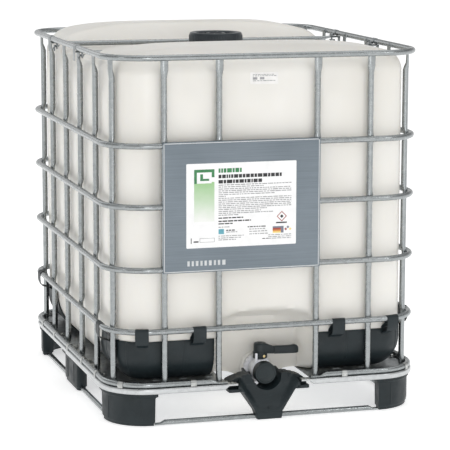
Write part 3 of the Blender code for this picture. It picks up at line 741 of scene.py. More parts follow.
# ---------------------------------------------------------------- pallet
def pallet():
    cx, cy = CORNER_CENTRE
    low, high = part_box("pallet_rim")
    middle, half_z = (low.z + high.z) / 2, (high.z - low.z) / 2

    def band(stations, outer, inner, tall):
        loops = []
        for x, y, u, v, pinch in stations:
            loop = []
            for du, dz in rounded((outer - inner) / 2, tall, min(0.0045, tall * 0.9), 4):
                reach = du - (0.140 - outer) - (outer - inner) / 2
                flat = 1.0 - 0.62 * pinch
                loop.append((x + u * reach, y + v * reach, middle + half_z - (half_z - dz) * flat
                             if pinch else middle + dz))
            loops.append(loop)
        return loft(loops)
    path = plan(0.140, 16, (), ())
    joint = 0.020
    front = [(-0.101, -cy - 0.140, 0, -1, 1.0), (-0.128, -cy - 0.140, 0, -1, 1.0),
             (-0.140, -cy - 0.140, 0, -1, 0.0)]
    corner = [(x, y, u, v, 0.0) for x, y, u, v in path if x < 0 and y < 0]
    front += sorted(corner, key=lambda s: math.atan2(-(s[0] + cx), -(s[1] + cy)))
    front += [(-cx - 0.140, joint, -1, 0, 0.0)]
    mirrored = [(-x, y, -u, v, p) for x, y, u, v, p in front]
    rear_path = [s for s in path if s[1] > 0]
    rear = [(cx + 0.140, joint - 0.03, 1, 0, 0.0)] + [(*s, 0.0) for s in rear_path]
    rear += [(-cx - 0.140, joint - 0.03, -1, 0, 0.0)]
    parts = [band(front, 0.140, 0.111, half_z), band(mirrored, 0.140, 0.111, half_z),
             band(rear, 0.1378, 0.112, half_z - 0.0016)]
    piece("rim_band", parts, RIM, replaces=("pallet_rim",), sharp=40)

    low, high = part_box("deck_pan")
    outline = [(x, y) for x, y, _, _ in plan(0.1195, 12)]
    notch = [(-0.132, -0.262), (0.132, -0.262)]
    front_y = -cy - 0.1195
    cut = [(-0.132, front_y)] + notch + [(0.132, front_y)]
    parts = [extrude(cut + outline, "Z", low.z + 0.0002, low.z + 0.0018)]
    for x in spread(-0.33, 0.33, 9):
        start = -0.24 if abs(x) < 0.14 else -0.50
        parts.append(loft([[(x + du, start, low.z + 0.0017), (x + du * 0.4, start, high.z),
                            (x - du * 0.4, start, high.z), (x - du, start, low.z + 0.0017)]
                           if k == 0 else
                           [(x + du, 0.50, low.z + 0.0017), (x + du * 0.4, 0.50, high.z),
                            (x - du * 0.4, 0.50, high.z), (x - du, 0.50, low.z + 0.0017)]
                           for k, du in ((0, 0.014), (1, 0.014))]))
    piece("deck_sheet", parts, DECK, replaces=("deck_pan",), sharp=30)

    for end in ("front", "rear", "left", "right"):
        node = "base_tube_" + end
        low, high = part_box(node)
        centre = (low + high) / 2
        lengthwise = high.x - low.x > high.y - low.y
        axis = 0 if lengthwise else 1
        ends = (low[axis] + 0.0004, high[axis] - 0.0004)
        marks = [(ends[0], 1.0), (ends[0] + 0.016, 1.0), (ends[0] + 0.030, 0.0),
                 (ends[1] - 0.030, 0.0), (ends[1] - 0.016, 1.0), (ends[1], 1.0)]
        stations = []
        for along, flat in marks:
            spot = [centre.x, centre.y, centre.z - 0.004 * flat]
            spot[axis] = along
            across = (0, 1, 0) if lengthwise else (1, 0, 0)
            stations.append((spot, across, (0, 0, 1), 0.0078, 0.0078 - 0.004 * flat))
        piece("runner_" + end, [tube(stations, 16)], STEEL, replaces=(node,))


def feet():
    for end, sy in (("front", -1), ("rear", 1)):
        for side, sx in (("left", -1), ("right", 1)):
            corner_foot("corner_foot_%s_%s" % (end, side), sx, sy)
    for side in ("left", "right", "rear"):
        middle_foot("middle_foot_" + side, side)
    valve_foot()


def corner_foot(node, sx, sy):
    outer_r, width, top = FOOT_OUT, FOOT_WIDTH, 0.0988
    parts = []

    def outline(grow, back):
        arc = [-0.003 - grow] + [i / 14 for i in range(15)] + [FOOT_SIDE_END + grow * 1.6]
        out = [quarter(stop, outer_r + min(grow, 0.006)) for stop in arc]
        ins = [quarter(stop, outer_r - width - back) for stop in reversed(arc)]
        return [(sx * x, sy * y) for x, y in out + ins]
    levels = ((-0.0060, 0.0), (-0.0035, 0.0015), (-0.0030, 0.0085), (-0.0004, 0.0115), (0.0, 0.0130),
              (0.0010, 0.0840), (0.0025, 0.0880), (0.0075, 0.0905), (0.0085, 0.0920),
              (0.0085, top - 0.0012),
              (0.0075, top))
    loops = [[(x, y, z) for x, y in outline(grow, grow)] for grow, z in levels]
    parts.append(loft(loops))
    for stop in (0.20, 0.80):
        ribs = []
        for offset in (-0.020, -0.012, 0.012, 0.020):
            rise = 0.0012 if abs(offset) < 0.015 else -0.0006
            turn = stop + offset
            pairs = [(outer_r + rise, 0.016), (outer_r + rise, 0.082), (outer_r - 0.004, 0.082),
                     (outer_r - 0.004, 0.016)]
            ribs.append([(sx * quarter(turn, r)[0], sy * quarter(turn, r)[1], z) for r, z in pairs])
        parts.append(loft(ribs))
    piece("moulded_" + node, parts, BLACK, replaces=(node,), sharp=50)


def middle_foot(node, side):
    reach = {"left": 0.487, "right": 0.487, "rear": 0.587}[side]
    top = 0.0988
    levels = ((-0.005, 0.0), (-0.003, 0.0015), (-0.0028, 0.0085), (-0.0003, 0.0115), (0.0, 0.0130),
              (0.0, 0.084), (0.003, 0.088), (0.012, 0.0905), (0.013, 0.092), (0.013, top - 0.001),
              (0.012, top))
    loops = []
    for grow, z in levels:
        out, back = reach + min(grow, 0.006), reach - FOOT_WIDTH - min(grow, 0.010)
        wide = MIDDLE_HALF + 0.008 + grow * 1.6
        pairs = [(out, wide - 0.010), (out - 0.003, wide - 0.003), (out - 0.010, wide),
                 (back + 0.012, wide - 0.004), (back + 0.005, wide - 0.008), (back, wide - 0.016)]
        pairs = [(u, -v) for u, v in reversed(pairs)] + pairs
        if side == "left":
            pairs = [(-u, v) for u, v in pairs]
        if side == "rear":
            pairs = [(v, u) for u, v in pairs]
        loops.append([(*pair, z) for pair in pairs])
    parts = [loft(loops)]
    for v in (-0.045, 0.045):
        low = [reach - 0.004, v - 0.0022, 0.018]
        high = [reach + 0.0014, v + 0.0022, 0.080]
        if side == "left":
            low[0], high[0] = -high[0], -low[0]
        if side == "rear":
            low[:2], high[:2] = (low[1], low[0]), (high[1], high[0])
        parts.append(block(low, high))
    piece("moulded_" + node, parts, BLACK, replaces=(node,), sharp=45)


def valve_foot():
    """A V under a cradle, with a dished face, ears under the rim and a plinth."""
    lower = ((0.0, 0.0), (0.0380, 0.0), (0.0415, 0.022), (0.0620, 0.055), (0.0805, 0.085), (0.0870, 0.0935),
             (0.0985, 0.0960))
    upper = ((0.0480, VALVE_Z - 0.001), (0.0620, VALVE_Z + 0.0010), (0.0760, VALVE_Z - 0.0010),
             (0.0860, VALVE_Z - 0.0070), (0.0930, VALVE_Z - 0.0160), (0.0985, VALVE_Z - 0.0290))

    def along(pairs, x):
        for (x0, z0), (x1, z1) in zip(pairs, pairs[1:]):
            if x <= x1:
                return z0 + (z1 - z0) * (x - x0) / (x1 - x0)
        return pairs[-1][1]

    def top(x, cradle):
        if x >= cradle:
            return along(upper, max(x, upper[0][0]))
        return min(along(upper, upper[0][0]), VALVE_Z - math.sqrt(cradle ** 2 - x ** 2))

    across, rise = 98, 40
    front, back = [], []
    for i in range(across + 1):
        x = 0.0985 * (2 * i / across - 1)
        low = along(lower, abs(x))
        for k in range(rise + 1):
            z = low + (top(abs(x), 0.0480) - low) * k / rise
            edge = max(0.0, z - 0.022) * 0.62 + 0.0415 - abs(x)
            depth = 0.0060 + 0.0180 * smooth((z - 0.03) / 0.075)
            dish = depth * smooth(edge / 0.026) * smooth((z - 0.021) / 0.016)
            lean = 0.45 * max(0.0, z - 0.108)
            front.append((x, -0.5955 + dish + lean, z))
            z = low + (top(abs(x), 0.0375) - low) * k / rise
            back.append((x, -0.5105 - 0.050 * max(0.0, 1 - z / 0.0885), z))
    count = rise + 1
    shift = len(front)
    faces = []
    for i in range(across):
        for k in range(rise):
            a = i * count + k
            faces.append((a, a + count, a + count + 1, a + 1))
            faces.append((shift + a + 1, shift + a + count + 1, shift + a + count, shift + a))
    border = [i * count for i in range(across + 1)]
    border += [across * count + k for k in range(1, count)]
    border += [i * count + rise for i in range(across - 1, -1, -1)]
    border += [k for k in range(rise - 1, 0, -1)]
    for a, b in zip(border, border[1:] + border[:1]):
        faces.append((b, a, shift + a, shift + b))
    points = front + back
    plinth = extrude([(-0.0390, 0.001), (0.0390, 0.001), (0.0422, 0.021), (-0.0422, 0.021)], "Y", -0.5962,
                     -0.566)
    slot = block((-0.0020, -0.5925, 0.026), (0.0020, -0.582, 0.036))
    shelf = []
    for i in range(15):
        turn = math.pi * i / 14
        c, s = math.cos(turn), math.sin(turn)
        shelf.append([(0.0486 * c, -0.512, VALVE_Z - 0.0486 * s),
                      (0.0556 * c, -0.512, VALVE_Z - 0.0556 * s),
                      (0.0556 * c, -0.4800, VALVE_Z + 0.004 - 0.0500 * s),
                      (0.0486 * c, -0.4800, VALVE_Z + 0.004 - 0.0440 * s)])
    parts = [(points, faces), plinth, slot, loft(shelf)]
    for sign in (-1, 1):
        slope = [(0.0700, 0.0995), (0.1275, 0.0985), (0.1255, 0.1060), (0.1180, 0.1170), (0.1050, 0.1230),
                 (0.0900, 0.1280), (0.0700, 0.1300)]
        parts.append(extrude([(sign * x, z) for x, z in slope], "Y", -0.5660, -0.5120))
        ear = [(x + sign * 0.1065, y - 0.553) for x, y in rounded(0.0220, 0.0425, 0.006, 5)]
        inset = [(x + sign * 0.1065, y - 0.553) for x, y in rounded(0.0208, 0.0413, 0.005, 5)]
        parts.append(loft([[(x, y, z) for x, y in ring] for ring, z in
                           ((inset, 0.0885), (ear, 0.0897), (ear, 0.0973), (inset, 0.0985))]))
    piece("moulded_valve_foot", parts, BLACK, replaces=("valve_foot",), sharp=32,
          bevel=0.0014)
    for sign, side in ((-1, "left"), (1, "right")):
        bolts = hex_bolt((sign * 0.116, -0.5865, 0.1145), "Z", 0.011, 0.0055)
        piece("ear_bolt_" + side, bolts, ZINC)


CLIP_HALF_WIDTH = 0.009
CLIP_HALF_THICKNESS = 0.0006
CLIP_REACH = 0.1396


def clips():
    """Saddle clips that tie the bottom hoop to the rim and deck beside the uprights."""
    parts = []
    path = [(RING_MID - 0.026, 0.1228), (RING_MID - 0.0135, 0.1228), (RING_MID - 0.0103, 0.1262)]
    path += [(RING_MID - 0.0100 * math.cos(math.pi * i / 8),
              BOTTOM_RING + 0.0100 * math.sin(math.pi * i / 8))
             for i in range(9)]
    path += [(RING_MID + 0.0098, 0.1180)]

    def clip(origin, out, across):
        loops = []
        for i, (r, z) in enumerate(path):
            before, after = path[max(0, i - 1)], path[min(len(path) - 1, i + 1)]
            along = Vector((after[0] - before[0], after[1] - before[1])).normalized()
            nr, nz = -along.y * CLIP_HALF_THICKNESS, along.x * CLIP_HALF_THICKNESS
            loop = []
            for side, sign in ((-1, 1), (1, 1), (1, -1), (-1, -1)):
                reach = min(r + sign * nr, CLIP_REACH)
                point = Vector(origin) + Vector(out) * reach + Vector(across) * CLIP_HALF_WIDTH * side
                loop.append((point.x, point.y, z + sign * nz))
            loops.append(loop)
        parts.append(loft(loops))
        head = Vector(origin) + Vector(out) * (RING_MID - 0.020)
        parts.extend(hex_bolt((head.x, head.y, 0.1234), "Z", 0.009, 0.0058))
    cx, cy = CORNER_CENTRE
    for y in (-0.395, -0.205, 0.0, 0.205, 0.395):
        for sign in (-1, 1):
            clip((sign * cx, y, 0), (sign, 0, 0), (0, 1, 0))
    for x in (-0.240, 0.240):
        for sign in (-1, 1):
            clip((x, sign * cy, 0), (0, sign, 0), (1, 0, 0))
    clip((0, cy, 0), (0, 1, 0), (1, 0, 0))
    for sx in (-1, 1):
        for sy in (-1, 1):
            out = Vector((sx, sy, 0)).normalized()
            clip((sx * cx, sy * cy, 0), out, (-out.y, out.x, 0))
    piece("rim_clips", parts, ZINC, sharp=40)


# ---------------------------------------------------------------- label plate
PRINT_LIFT = 0.00035
PRINT_BACK = 0.0002
EDGE_LIFT = 0.00030


def label():
    low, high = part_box("label_plate")
    face, back = -0.5992, -0.5987
    x0, x1, z0, z1 = low.x, high.x, low.z, high.z
    lip = 0.0085
    profile = [(face, z0 + 0.0022), (face + 0.0006, z0 + 0.0006), (face + 0.0022, z0), (face + lip, z0),
               (face + lip, z0 + 0.0007), (face + 0.0024, z0 + 0.0007), (back, z0 + 0.0026),
               (back, z1 - 0.0026), (face + 0.0024, z1 - 0.0007), (face + lip, z1 - 0.0007),
               (face + lip, z1),
               (face + 0.0022, z1), (face + 0.0006, z1 - 0.0006), (face, z1 - 0.0022)]
    piece("plate_sheet", [extrude(profile, "X", x0, x1)], PLATE, replaces=("label_plate",),
          sharp=25)
    # The border strips use the lighter rim zinc instead of the plate's own finish. This is a painted
    # highlight along the plate's folded edge, and the row of marks below uses the same lighter material.
    edges = []
    for z in (z0 + 0.0042, z1 - 0.0042):
        edges.append(block((x0 + 0.003, face - EDGE_LIFT, z - 0.0012),
                           (x1 - 0.003, face + 0.0001, z + 0.0012)))
    for x in (x0 + 0.0042, x1 - 0.0042):
        edges.append(block((x - 0.0012, face - EDGE_LIFT, z0 + 0.003),
                           (x + 0.0012, face + 0.0001, z1 - 0.003)))
    marks, x = [], x0 + 0.075
    for wide in (0.010, 0.009, 0.011, 0.009, 0.010, 0.012, 0.009, 0.010, 0.014):
        marks.append(block((x, face - EDGE_LIFT, z0 + 0.020), (x + wide * 0.72, face + 0.0001, z0 + 0.035)))
        x += wide + 0.0035
    piece("plate_edge_highlights_and_marks", edges + marks, RIM)

    left, right, bottom, top = -0.263, 0.079, 0.539, 0.792
    wide, tall = right - left, top - bottom
    sheet = [(left + wide / 2 + u, bottom + tall / 2 + v) for u, v in rounded(wide / 2, tall / 2, 0.003)]
    piece("label_sheet", [extrude(sheet, "Y", face - 0.00025, face + 0.0001)], PAPER)

    def at(u, v):
        return left + wide * u, top - tall * v

    def patch(u0, v0, u1, v1, level=PRINT_LIFT):
        (x, z), (x2, z2) = at(u0, v1), at(u1, v0)
        return block((x, face - level, z), (x2, face - PRINT_BACK, z2))

    def diamond(u, v, size):
        x, z = at(u, v)
        outline = [(x - size, z), (x, z - size), (x + size, z), (x, z + size)]
        return extrude(outline, "Y", face - PRINT_LIFT, face - PRINT_BACK)

    def row(u0, u1, v, height, words=True):
        """A row of plain bars in place of text."""
        made, u = [], u0
        while u < u1 - 0.006:
            long = min(draw.uniform(0.012, 0.050), u1 - u) if words else u1 - u
            made.append(patch(u, v - height / 2, u + long, v + height / 2))
            u += long + 0.0065
        return made

    x, z = at(0.07, 0.69)
    x2, z2 = at(0.253, 0.22)
    fade = fading_panel("fade_print", z2, z, (0.30, 0.53, 0.24), (0.82, 0.83, 0.80))
    piece("print_fade", [block((x, face - EDGE_LIFT, z), (x2, face - PRINT_BACK, z2))], fade)
    green = [patch(0.07, 0.070, 0.253, 0.105), patch(0.07, 0.105, 0.095, 0.235),
             patch(0.228, 0.105, 0.253, 0.165),
             patch(0.125, 0.125, 0.150, 0.205), patch(0.150, 0.180, 0.205, 0.205)]
    green += row(0.290, 0.500, 0.090, 0.050)
    piece("print_green", green, INK_GREEN)
    piece("print_panel_white", [patch(0.095, 0.105, 0.228, 0.235, 0.00033)], PAPER)
    black = row(0.290, 0.865, 0.160, 0.042) + row(0.290, 0.685, 0.222, 0.042)
    black += row(0.290, 0.515, 0.654, 0.014) + row(0.290, 0.585, 0.692, 0.016) + row(0.290, 0.430, 0.722,
                                                                                     0.014)
    black += row(0.815, 0.915, 0.737, 0.016, False) + row(0.690, 0.745, 0.920, 0.010)
    black += row(0.555, 0.720, 0.772, 0.012) + [diamond(0.868, 0.662, 0.0055),
                                                patch(0.04, 0.880, 0.047, 0.945)]
    black += row(0.36, 0.45, 0.803, 0.014) + row(0.065, 0.110, 0.925, 0.016, False)
    piece("print_black", black, INK_BLACK)
    grey = []
    for v, u1 in ((0.262, 0.955), (0.285, 0.700), (0.309, 0.955), (0.331, 0.955), (0.353, 0.955),
                  (0.376, 0.800),
                  (0.398, 0.355), (0.420, 0.955), (0.442, 0.955), (0.464, 0.955), (0.486, 0.955),
                  (0.508, 0.955),
                  (0.530, 0.955), (0.552, 0.730), (0.576, 0.680), (0.598, 0.790), (0.620, 0.470)):
        grey += row(0.290, u1, v, 0.0105)
    for v, u1 in ((0.762, 0.40), (0.824, 0.47), (0.868, 0.52), (0.892, 0.50), (0.914, 0.45)):
        grey += row(0.290 if v > 0.85 or v < 0.8 else 0.36, u1, v, 0.010)
    for v, u1 in ((0.800, 0.72), (0.828, 0.735), (0.858, 0.740)):
        grey += row(0.570, u1, v, 0.011)
    grey += row(0.745, 0.955, 0.880, 0.009) + row(0.745, 0.955, 0.902, 0.009) + row(0.745, 0.955, 0.922,
                                                                                    0.009)
    grey += [patch(0.120, 0.885, 0.255, 0.890), patch(0.120, 0.930, 0.255, 0.935),
             patch(0.120, 0.885, 0.124, 0.935), patch(0.251, 0.885, 0.255, 0.935)]
    piece("print_grey", grey, INK_GREY)
    x, z = at(0.868, 0.662)
    ring = []
    for size in (0.0160, 0.0128):
        ring.append([(x - size, z), (x, z - size), (x + size, z), (x, z + size)])
    loops = [[(u, face - 0.00034, v) for u, v in ring[0]], [(u, face - 0.00034, v) for u, v in ring[1]],
             [(u, face - 0.0002, v) for u, v in ring[1]], [(u, face - 0.0002, v) for u, v in ring[0]]]
    red = [loft(loops, ring=True), patch(0.785, 0.800, 0.860, 0.822), diamond(0.905, 0.818, 0.0045)]
    piece("print_red", red, INK_RED)
    piece("print_orange", [patch(0.785, 0.822, 0.860, 0.842)], INK_ORANGE)
    piece("print_yellow", [patch(0.785, 0.842, 0.860, 0.860), diamond(0.945, 0.818, 0.0045)], INK_YELLOW)
    piece("print_slate", [patch(0.785, 0.780, 0.885, 0.800), patch(0.860, 0.800, 0.885, 0.860),
                          diamond(0.925, 0.795, 0.0045)], INK_SLATE)
    piece("print_blue", [patch(0.290, 0.785, 0.340, 0.845)], INK_BLUE)


# ---------------------------------------------------------------- filler lid
def lid():
    r = 0.087
    low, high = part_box("filler_lid")
    top, bottom = high.z, low.z
    rib = (0.0006, 64)
    profile = [(0.0800, bottom + 0.0005), (r - 0.0012, bottom), (r - 0.0006, bottom + 0.0010),
               (r - 0.0006, bottom + 0.0050), (r - 0.0014, bottom + 0.0062, *rib),
               (r - 0.0010, bottom + 0.0090, *rib),
               (r - 0.0012, top - 0.0100, *rib), (r - 0.0020, top - 0.0080, *rib),
               (r - 0.0022, top - 0.0060),
               (r - 0.0030, top - 0.0030), (r - 0.0048, top - 0.0008), (r - 0.0075, top),
               (0.0680, top - 0.0004),
               (0.0640, top - 0.0016), (0.0620, top - 0.0040), (0.0560, top - 0.0046),
               (0.0300, top - 0.0040),
               (0.0285, top - 0.0020), (0.0255, top - 0.0014), (0.0230, top - 0.0018),
               (0.0215, top - 0.0040),
               (0.0060, top - 0.0042)]
    inside = [(0.0060, top - 0.0064), (0.0790, top - 0.0064), (0.0798, top - 0.0090)]
    shell = lathe(profile + inside, (0, 0, 0), "Z", 256, ring=True)
    cap = lathe([(0.0064, top - 0.0066), (0.0064, top - 0.0044), (0.0050, top - 0.0034)], (0, 0, 0), "Z",
                32)
    lugs = []
    for k in range(8):
        turn = math.pi * (k + 0.5) / 4
        c, s = math.cos(turn), math.sin(turn)
        loops = []
        for reach in (0.031, 0.055):
            loops.append([(reach * c - 0.0022 * s, reach * s + 0.0022 * c, top - 0.0044),
                          (reach * c + 0.0022 * s, reach * s - 0.0022 * c, top - 0.0044),
                          (reach * c + 0.0012 * s, reach * s - 0.0012 * c, top - 0.0022),
                          (reach * c - 0.0012 * s, reach * s + 0.0012 * c, top - 0.0022)])
        lugs.append(loft(loops))
    piece("lid_screw_cap", [shell, cap] + lugs, LID, "lid", ("filler_lid",), sharp=40)
    seal = [(0.0738, 1.1244), (0.0784, 1.1244), (0.0788, 1.1250), (0.0788, 1.1260), (0.0784, 1.1266),
            (0.0738, 1.1266)]
    piece("lid_gasket", [lathe(seal, (0, 0, 0), "Z", 72, ring=True)], RUBBER, "lid_lift",
          ("lid_seal",))


# ---------------------------------------------------------------- discharge valve
def raised(parts, rise):
    """The same parts, moved up."""
    return [([(x, y, z + rise) for x, y, z in points], faces) for points, faces in parts]


def valve():
    """Heights are from the outlet's centre line, and every part is then raised to it."""
    centre, stem = (0, 0, 0), (0, STEM_Y, 0)
    body = lathe([(0.0245, -0.4690), (0.0295, -0.4690), (0.0295, -0.4770), (0.0330, -0.4790),
                  (0.0340, -0.4810),
                  (0.0340, -0.5160), (0.0330, -0.5185), (0.0308, -0.5200), (0.0308, -0.5330),
                  (0.0298, -0.5340),
                  (0.0308, -0.5352), (0.0308, -0.5500), (0.0245, -0.5503)], centre, "Y", 72, ring=True)
    boss = lathe([(0.0230, 0.018), (0.0185, 0.0265), (0.0178, 0.0300), (0.0178, 0.0335), (0.0170, 0.0345)],
                 stem, "Z", 56)
    lug = extrude([(-0.0230, 0.0180), (-0.0165, 0.0180), (-0.0165, 0.0545), (-0.0180, 0.0560),
                   (-0.0215, 0.0560),
                   (-0.0230, 0.0545)], "Y", -0.5225, -0.5175)
    web = extrude([(-0.0280, 0.0120), (0.0120, 0.0200), (0.0080, 0.0350), (-0.0225, 0.0350)], "Y", -0.5190,
                  -0.5050)
    ribs = []
    for k in range(10):
        turn = math.pi * (k / 5) + 0.3
        c, s = math.cos(turn), math.sin(turn)
        ribs.append(loft([[(reach * c - 0.0013 * s, y, reach * s + 0.0013 * c),
                           (reach * c + 0.0013 * s, y, reach * s - 0.0013 * c),
                           (reach * c + 0.0013 * s, y - 0.010, reach * s - 0.0013 * c),
                           (reach * c - 0.0013 * s, y - 0.010, reach * s + 0.0013 * c)]
                          for reach, y in ((0.0325, -0.4985), (0.0354, -0.4985))]))
    tail = extrude([(-0.0350, -0.0265), (-0.0270, -0.0335), (-0.0215, -0.0295), (-0.0285, -0.0220)],
                   "Y", -0.5520, -0.5360)
    piece("valve_housing", raised([body, boss, lug, web, tail] + ribs, VALVE_Z), WHITE,
          replaces=("valve_body",), sharp=35)

    grips = lathe([(0.0306, -0.4516), (0.0385, -0.4510), (0.0410, -0.4530, 0.0010, 24),
                   (0.0420, -0.4560, 0.0010, 24),
                   (0.0420, -0.4665, 0.0010, 24), (0.0408, -0.4700, 0.0010, 24), (0.0385, -0.4720),
                   (0.0306, -0.4720)],
                  centre, "Y", 192, ring=True)
    piece("valve_union_nut", raised([grips], VALVE_Z), WHITE, replaces=("union_nut",),
          sharp=35)

    disc = lathe([(0.0030, STEM_Y - 0.0030), (0.0180, STEM_Y - 0.0026), (0.0236, STEM_Y - 0.0012),
                  (0.0236, STEM_Y + 0.0012), (0.0180, STEM_Y + 0.0026), (0.0030, STEM_Y + 0.0030)], centre,
                 "Y", 56)
    spindle = lathe([(0.0058, -0.022), (0.0060, -0.0215), (0.0060, 0.0808), (0.0050, 0.0813)], stem, "Z",
                    32)
    piece("butterfly_disc", raised([disc, spindle], VALVE_Z), WHITE, "valve_stem",
          ("valve_disc",), sharp=35)

    collar = lathe([(0.0066, 0.0354), (0.0218, 0.0364), (0.0226, 0.0374), (0.0226, 0.0560),
                    (0.0216, 0.0570),
                    (0.0066, 0.0570)], stem, "Z", 64, ring=True)
    hub = lathe([(0.0066, 0.0490), (0.0198, 0.0490), (0.0199, 0.0750), (0.0194, 0.0790), (0.0182, 0.0820),
                 (0.0160, 0.0836), (0.0120, 0.0840), (0.0066, 0.0840)], stem, "Z", 64, ring=True)
    plug = lathe([(0.0070, 0.0815), (0.0070, 0.0846), (0.0058, 0.0852)], stem, "Z", 32)
    spine = [(0.004, 0.0185, 0.0505, 0.0820), (0.014, 0.0168, 0.0505, 0.0815),
             (0.022, 0.0142, 0.0500, 0.0790),
             (0.029, 0.0122, 0.0490, 0.0755), (0.035, 0.0108, 0.0480, 0.0728),
             (0.0405, 0.0100, 0.0472, 0.0712),
             (0.0410, 0.0078, 0.0490, 0.0696), (0.0430, 0.0078, 0.0490, 0.0696),
             (0.0435, 0.0096, 0.0466, 0.0708),
             (0.060, 0.0094, 0.0462, 0.0704), (0.085, 0.0094, 0.0456, 0.0700),
             (0.103, 0.0095, 0.0452, 0.0702),
             (0.108, 0.0095, 0.0450, 0.0722), (0.113, 0.0092, 0.0450, 0.0716),
             (0.1180, 0.0084, 0.0454, 0.0692),
             (0.1210, 0.0070, 0.0464, 0.0660), (0.1225, 0.0050, 0.0485, 0.0630)]
    loops = []
    for x, half, z0, z1 in spine:
        middle, tall = (z0 + z1) / 2, (z1 - z0) / 2
        loops.append([(x, STEM_Y + u, middle + v) for u,
                      v in rounded(half, tall, min(0.0040, 0.6 * half), 4)])
    lever = loft(loops)
    tooth = []
    for turn in (-2.10, -1.55, 0.75):
        c, s = math.cos(turn), math.sin(turn)
        tooth.append(loft([[(reach * c - w * s, STEM_Y + reach * s + w * c, z),
                            (reach * c + w * s, STEM_Y + reach * s - w * c, z)]
                           + [(reach * c + w * s, STEM_Y + reach * s - w * c, z + 0.0125),
                              (reach * c - w * s, STEM_Y + reach * s + w * c, z + 0.0125)]
                           for reach, w, z in ((0.0215, 0.0036, 0.0385), (0.0238, 0.0032, 0.0385))]))
    piece("handle_lever", raised([collar, hub, plug, lever] + tooth, VALVE_Z), HANDLE,
          "valve_stem",
          ("valve_handle",), sharp=38)
    screw = lathe([(0.0046, -0.5120), (0.0046, -0.5178), (0.0038, -0.5190), (0.0012, -0.5190),
                   (0.0010, -0.5180)],
                  (0.0060, 0, 0.0450), "Y", 28)
    piece("handle_screw", raised([screw], VALVE_Z), BRASS, "valve_stem")

    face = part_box("outlet_cap")[0].y
    cap = [(0.0322, -0.5290), (0.0335, -0.5288), (0.0338, -0.5310, 0.0006, 40),
           (0.0339, -0.5480, 0.0006, 40),
           (0.0336, -0.5520), (0.0332, face + 0.0016), (0.0318, face + 0.0003), (0.0300, face),
           (0.0282, face + 0.0002),
           (0.0272, face + 0.0014), (0.0262, face + 0.0020), (0.0120, face + 0.0014),
           (0.0040, face + 0.0013)]
    inner = [(0.0040, face + 0.0040), (0.0305, face + 0.0042), (0.0320, face + 0.0050)]
    middle = lathe([(0.0044, face + 0.0034), (0.0044, face + 0.0010), (0.0032, face + 0.0008)], centre, "Y",
                   24)
    cover = lathe(cap + inner, centre, "Y", 200, ring=True)
    piece("cap_screw_on", raised([cover, middle], VALVE_Z), HANDLE, "cap",
          ("outlet_cap",), sharp=40)
    seal = [(0.0247, -0.5510), (0.0312, -0.5510), (0.0314, -0.5515), (0.0314, -0.5532), (0.0312, -0.5536),
            (0.0247, -0.5536)]
    piece("cap_gasket", raised([lathe(seal, centre, "Y", 56, ring=True)], VALVE_Z), RUBBER,
          "cap_travel", ("outlet_seal",))


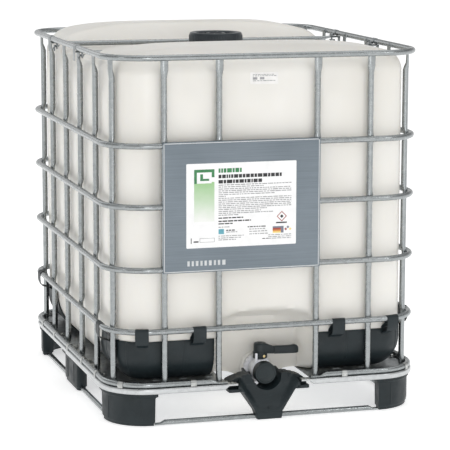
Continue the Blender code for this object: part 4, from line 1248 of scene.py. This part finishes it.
# ---------------------------------------------------------------- floor, light and camera
def studio():
    outline = around((0, 0, -0.0004), 60.0, "Z", 96)
    lower = [(x, y, z - 0.01) for x, y, z in outline]
    points, faces = loft([lower, outline])
    mesh = bpy.data.meshes.new("floor")
    mesh.from_pydata(points, [], faces)
    floor = bpy.data.objects.new("floor", mesh)
    bpy.context.scene.collection.objects.link(floor)
    look = Look("floor_pale", Roughness=0.75)
    look.colour(look.ramp(look.noise(0.6, 3.0), (0.3, (0.90, 0.90, 0.90)), (0.7, (0.93, 0.93, 0.93))))
    look.shader.inputs["Specular IOR Level"].default_value = 0.1
    look.shader.inputs["Emission Color"].default_value = (1.0, 1.0, 1.0, 1.0)
    look.shader.inputs["Emission Strength"].default_value = 0.50
    mesh.materials.append(look.material)

    world = bpy.data.worlds.new("studio")
    bpy.context.scene.world = world
    world.use_nodes = True
    nodes, links = world.node_tree.nodes, world.node_tree.links
    background = nodes["Background"]
    place = nodes.new("ShaderNodeTexCoord").outputs["Generated"]
    split = nodes.new("ShaderNodeSeparateXYZ")
    links.new(place, split.inputs[0])
    band = nodes.new("ShaderNodeValToRGB")
    links.new(split.outputs["Z"], band.inputs["Fac"])
    band.color_ramp.elements.new(0.40)
    band.color_ramp.elements.new(0.80)
    stops = ((0.0, 1.0), (0.14, 1.0), (0.40, 0.30), (0.80, 1.0))
    for element, (spot, grey) in zip(band.color_ramp.elements, stops):
        element.position = spot
        element.color = (grey, grey, grey, 1.0)
    links.new(band.outputs["Color"], background.inputs["Color"])
    background.inputs["Strength"].default_value = 0.86

    for name, spot, size, power in (
        ("light_key", (3.2, -4.8, 3.2), 1.4, 32.0),
        ("light_front", (-0.6, -7.0, 1.5), 1.6, 48.0),
        ("light_fill", (-4.6, -2.2, 2.4), 1.2, 10.0),
        ("light_top", (0.3, 0.2, 4.6), 4.0, 24.0),
        ("light_rear", (-2.0, 4.4, 3.4), 3.0, 20.0),
    ):
        data = bpy.data.lights.new(name, "AREA")
        data.energy, data.size, data.shape = power, size, "DISK"
        lamp = bpy.data.objects.new(name, data)
        aim = Vector((0, 0, 0.55)) - Vector(spot)
        lamp.matrix_world = Matrix.Translation(spot) @ aim.to_track_quat("-Z", "Y").to_matrix().to_4x4()
        bpy.context.scene.collection.objects.link(lamp)


def camera():
    place = Vector((-1.9363, -6.7006, 1.6489))
    azimuth, elevation, roll = 0.2862, 0.1715, 0.0021
    forward = Vector((math.sin(azimuth) * math.cos(elevation), math.cos(azimuth) * math.cos(elevation),
                      -math.sin(elevation)))
    right = Vector((math.cos(azimuth), -math.sin(azimuth), 0))
    up = right.cross(forward)
    side = math.cos(roll) * right + math.sin(roll) * up
    rise = -math.sin(roll) * right + math.cos(roll) * up
    data = bpy.data.cameras.new("camera")
    data.sensor_width, data.lens = 36.0, 173.07
    data.shift_x, data.shift_y = -0.0019, 0.0425
    data.clip_start, data.clip_end = 0.1, 200.0
    obj = bpy.data.objects.new("camera", data)
    rotation = Matrix((side, rise, -forward)).transposed()
    obj.matrix_world = Matrix.Translation(place) @ rotation.to_4x4()
    bpy.context.scene.collection.objects.link(obj)
    bpy.context.scene.camera = obj
    bpy.context.scene.view_settings.view_transform = "Standard"


cage()
crossbars()
bottle()
sticker()
for end_name, end_sign in (("front", -1), ("rear", 1)):
    for side_name, side_sign in (("left", -1), ("right", 1)):
        corner_cover("corner_cover_%s_%s" % (end_name, side_name), (side_sign, end_sign))
pallet()
feet()
clips()
label()
lid()
valve()
studio()
camera()
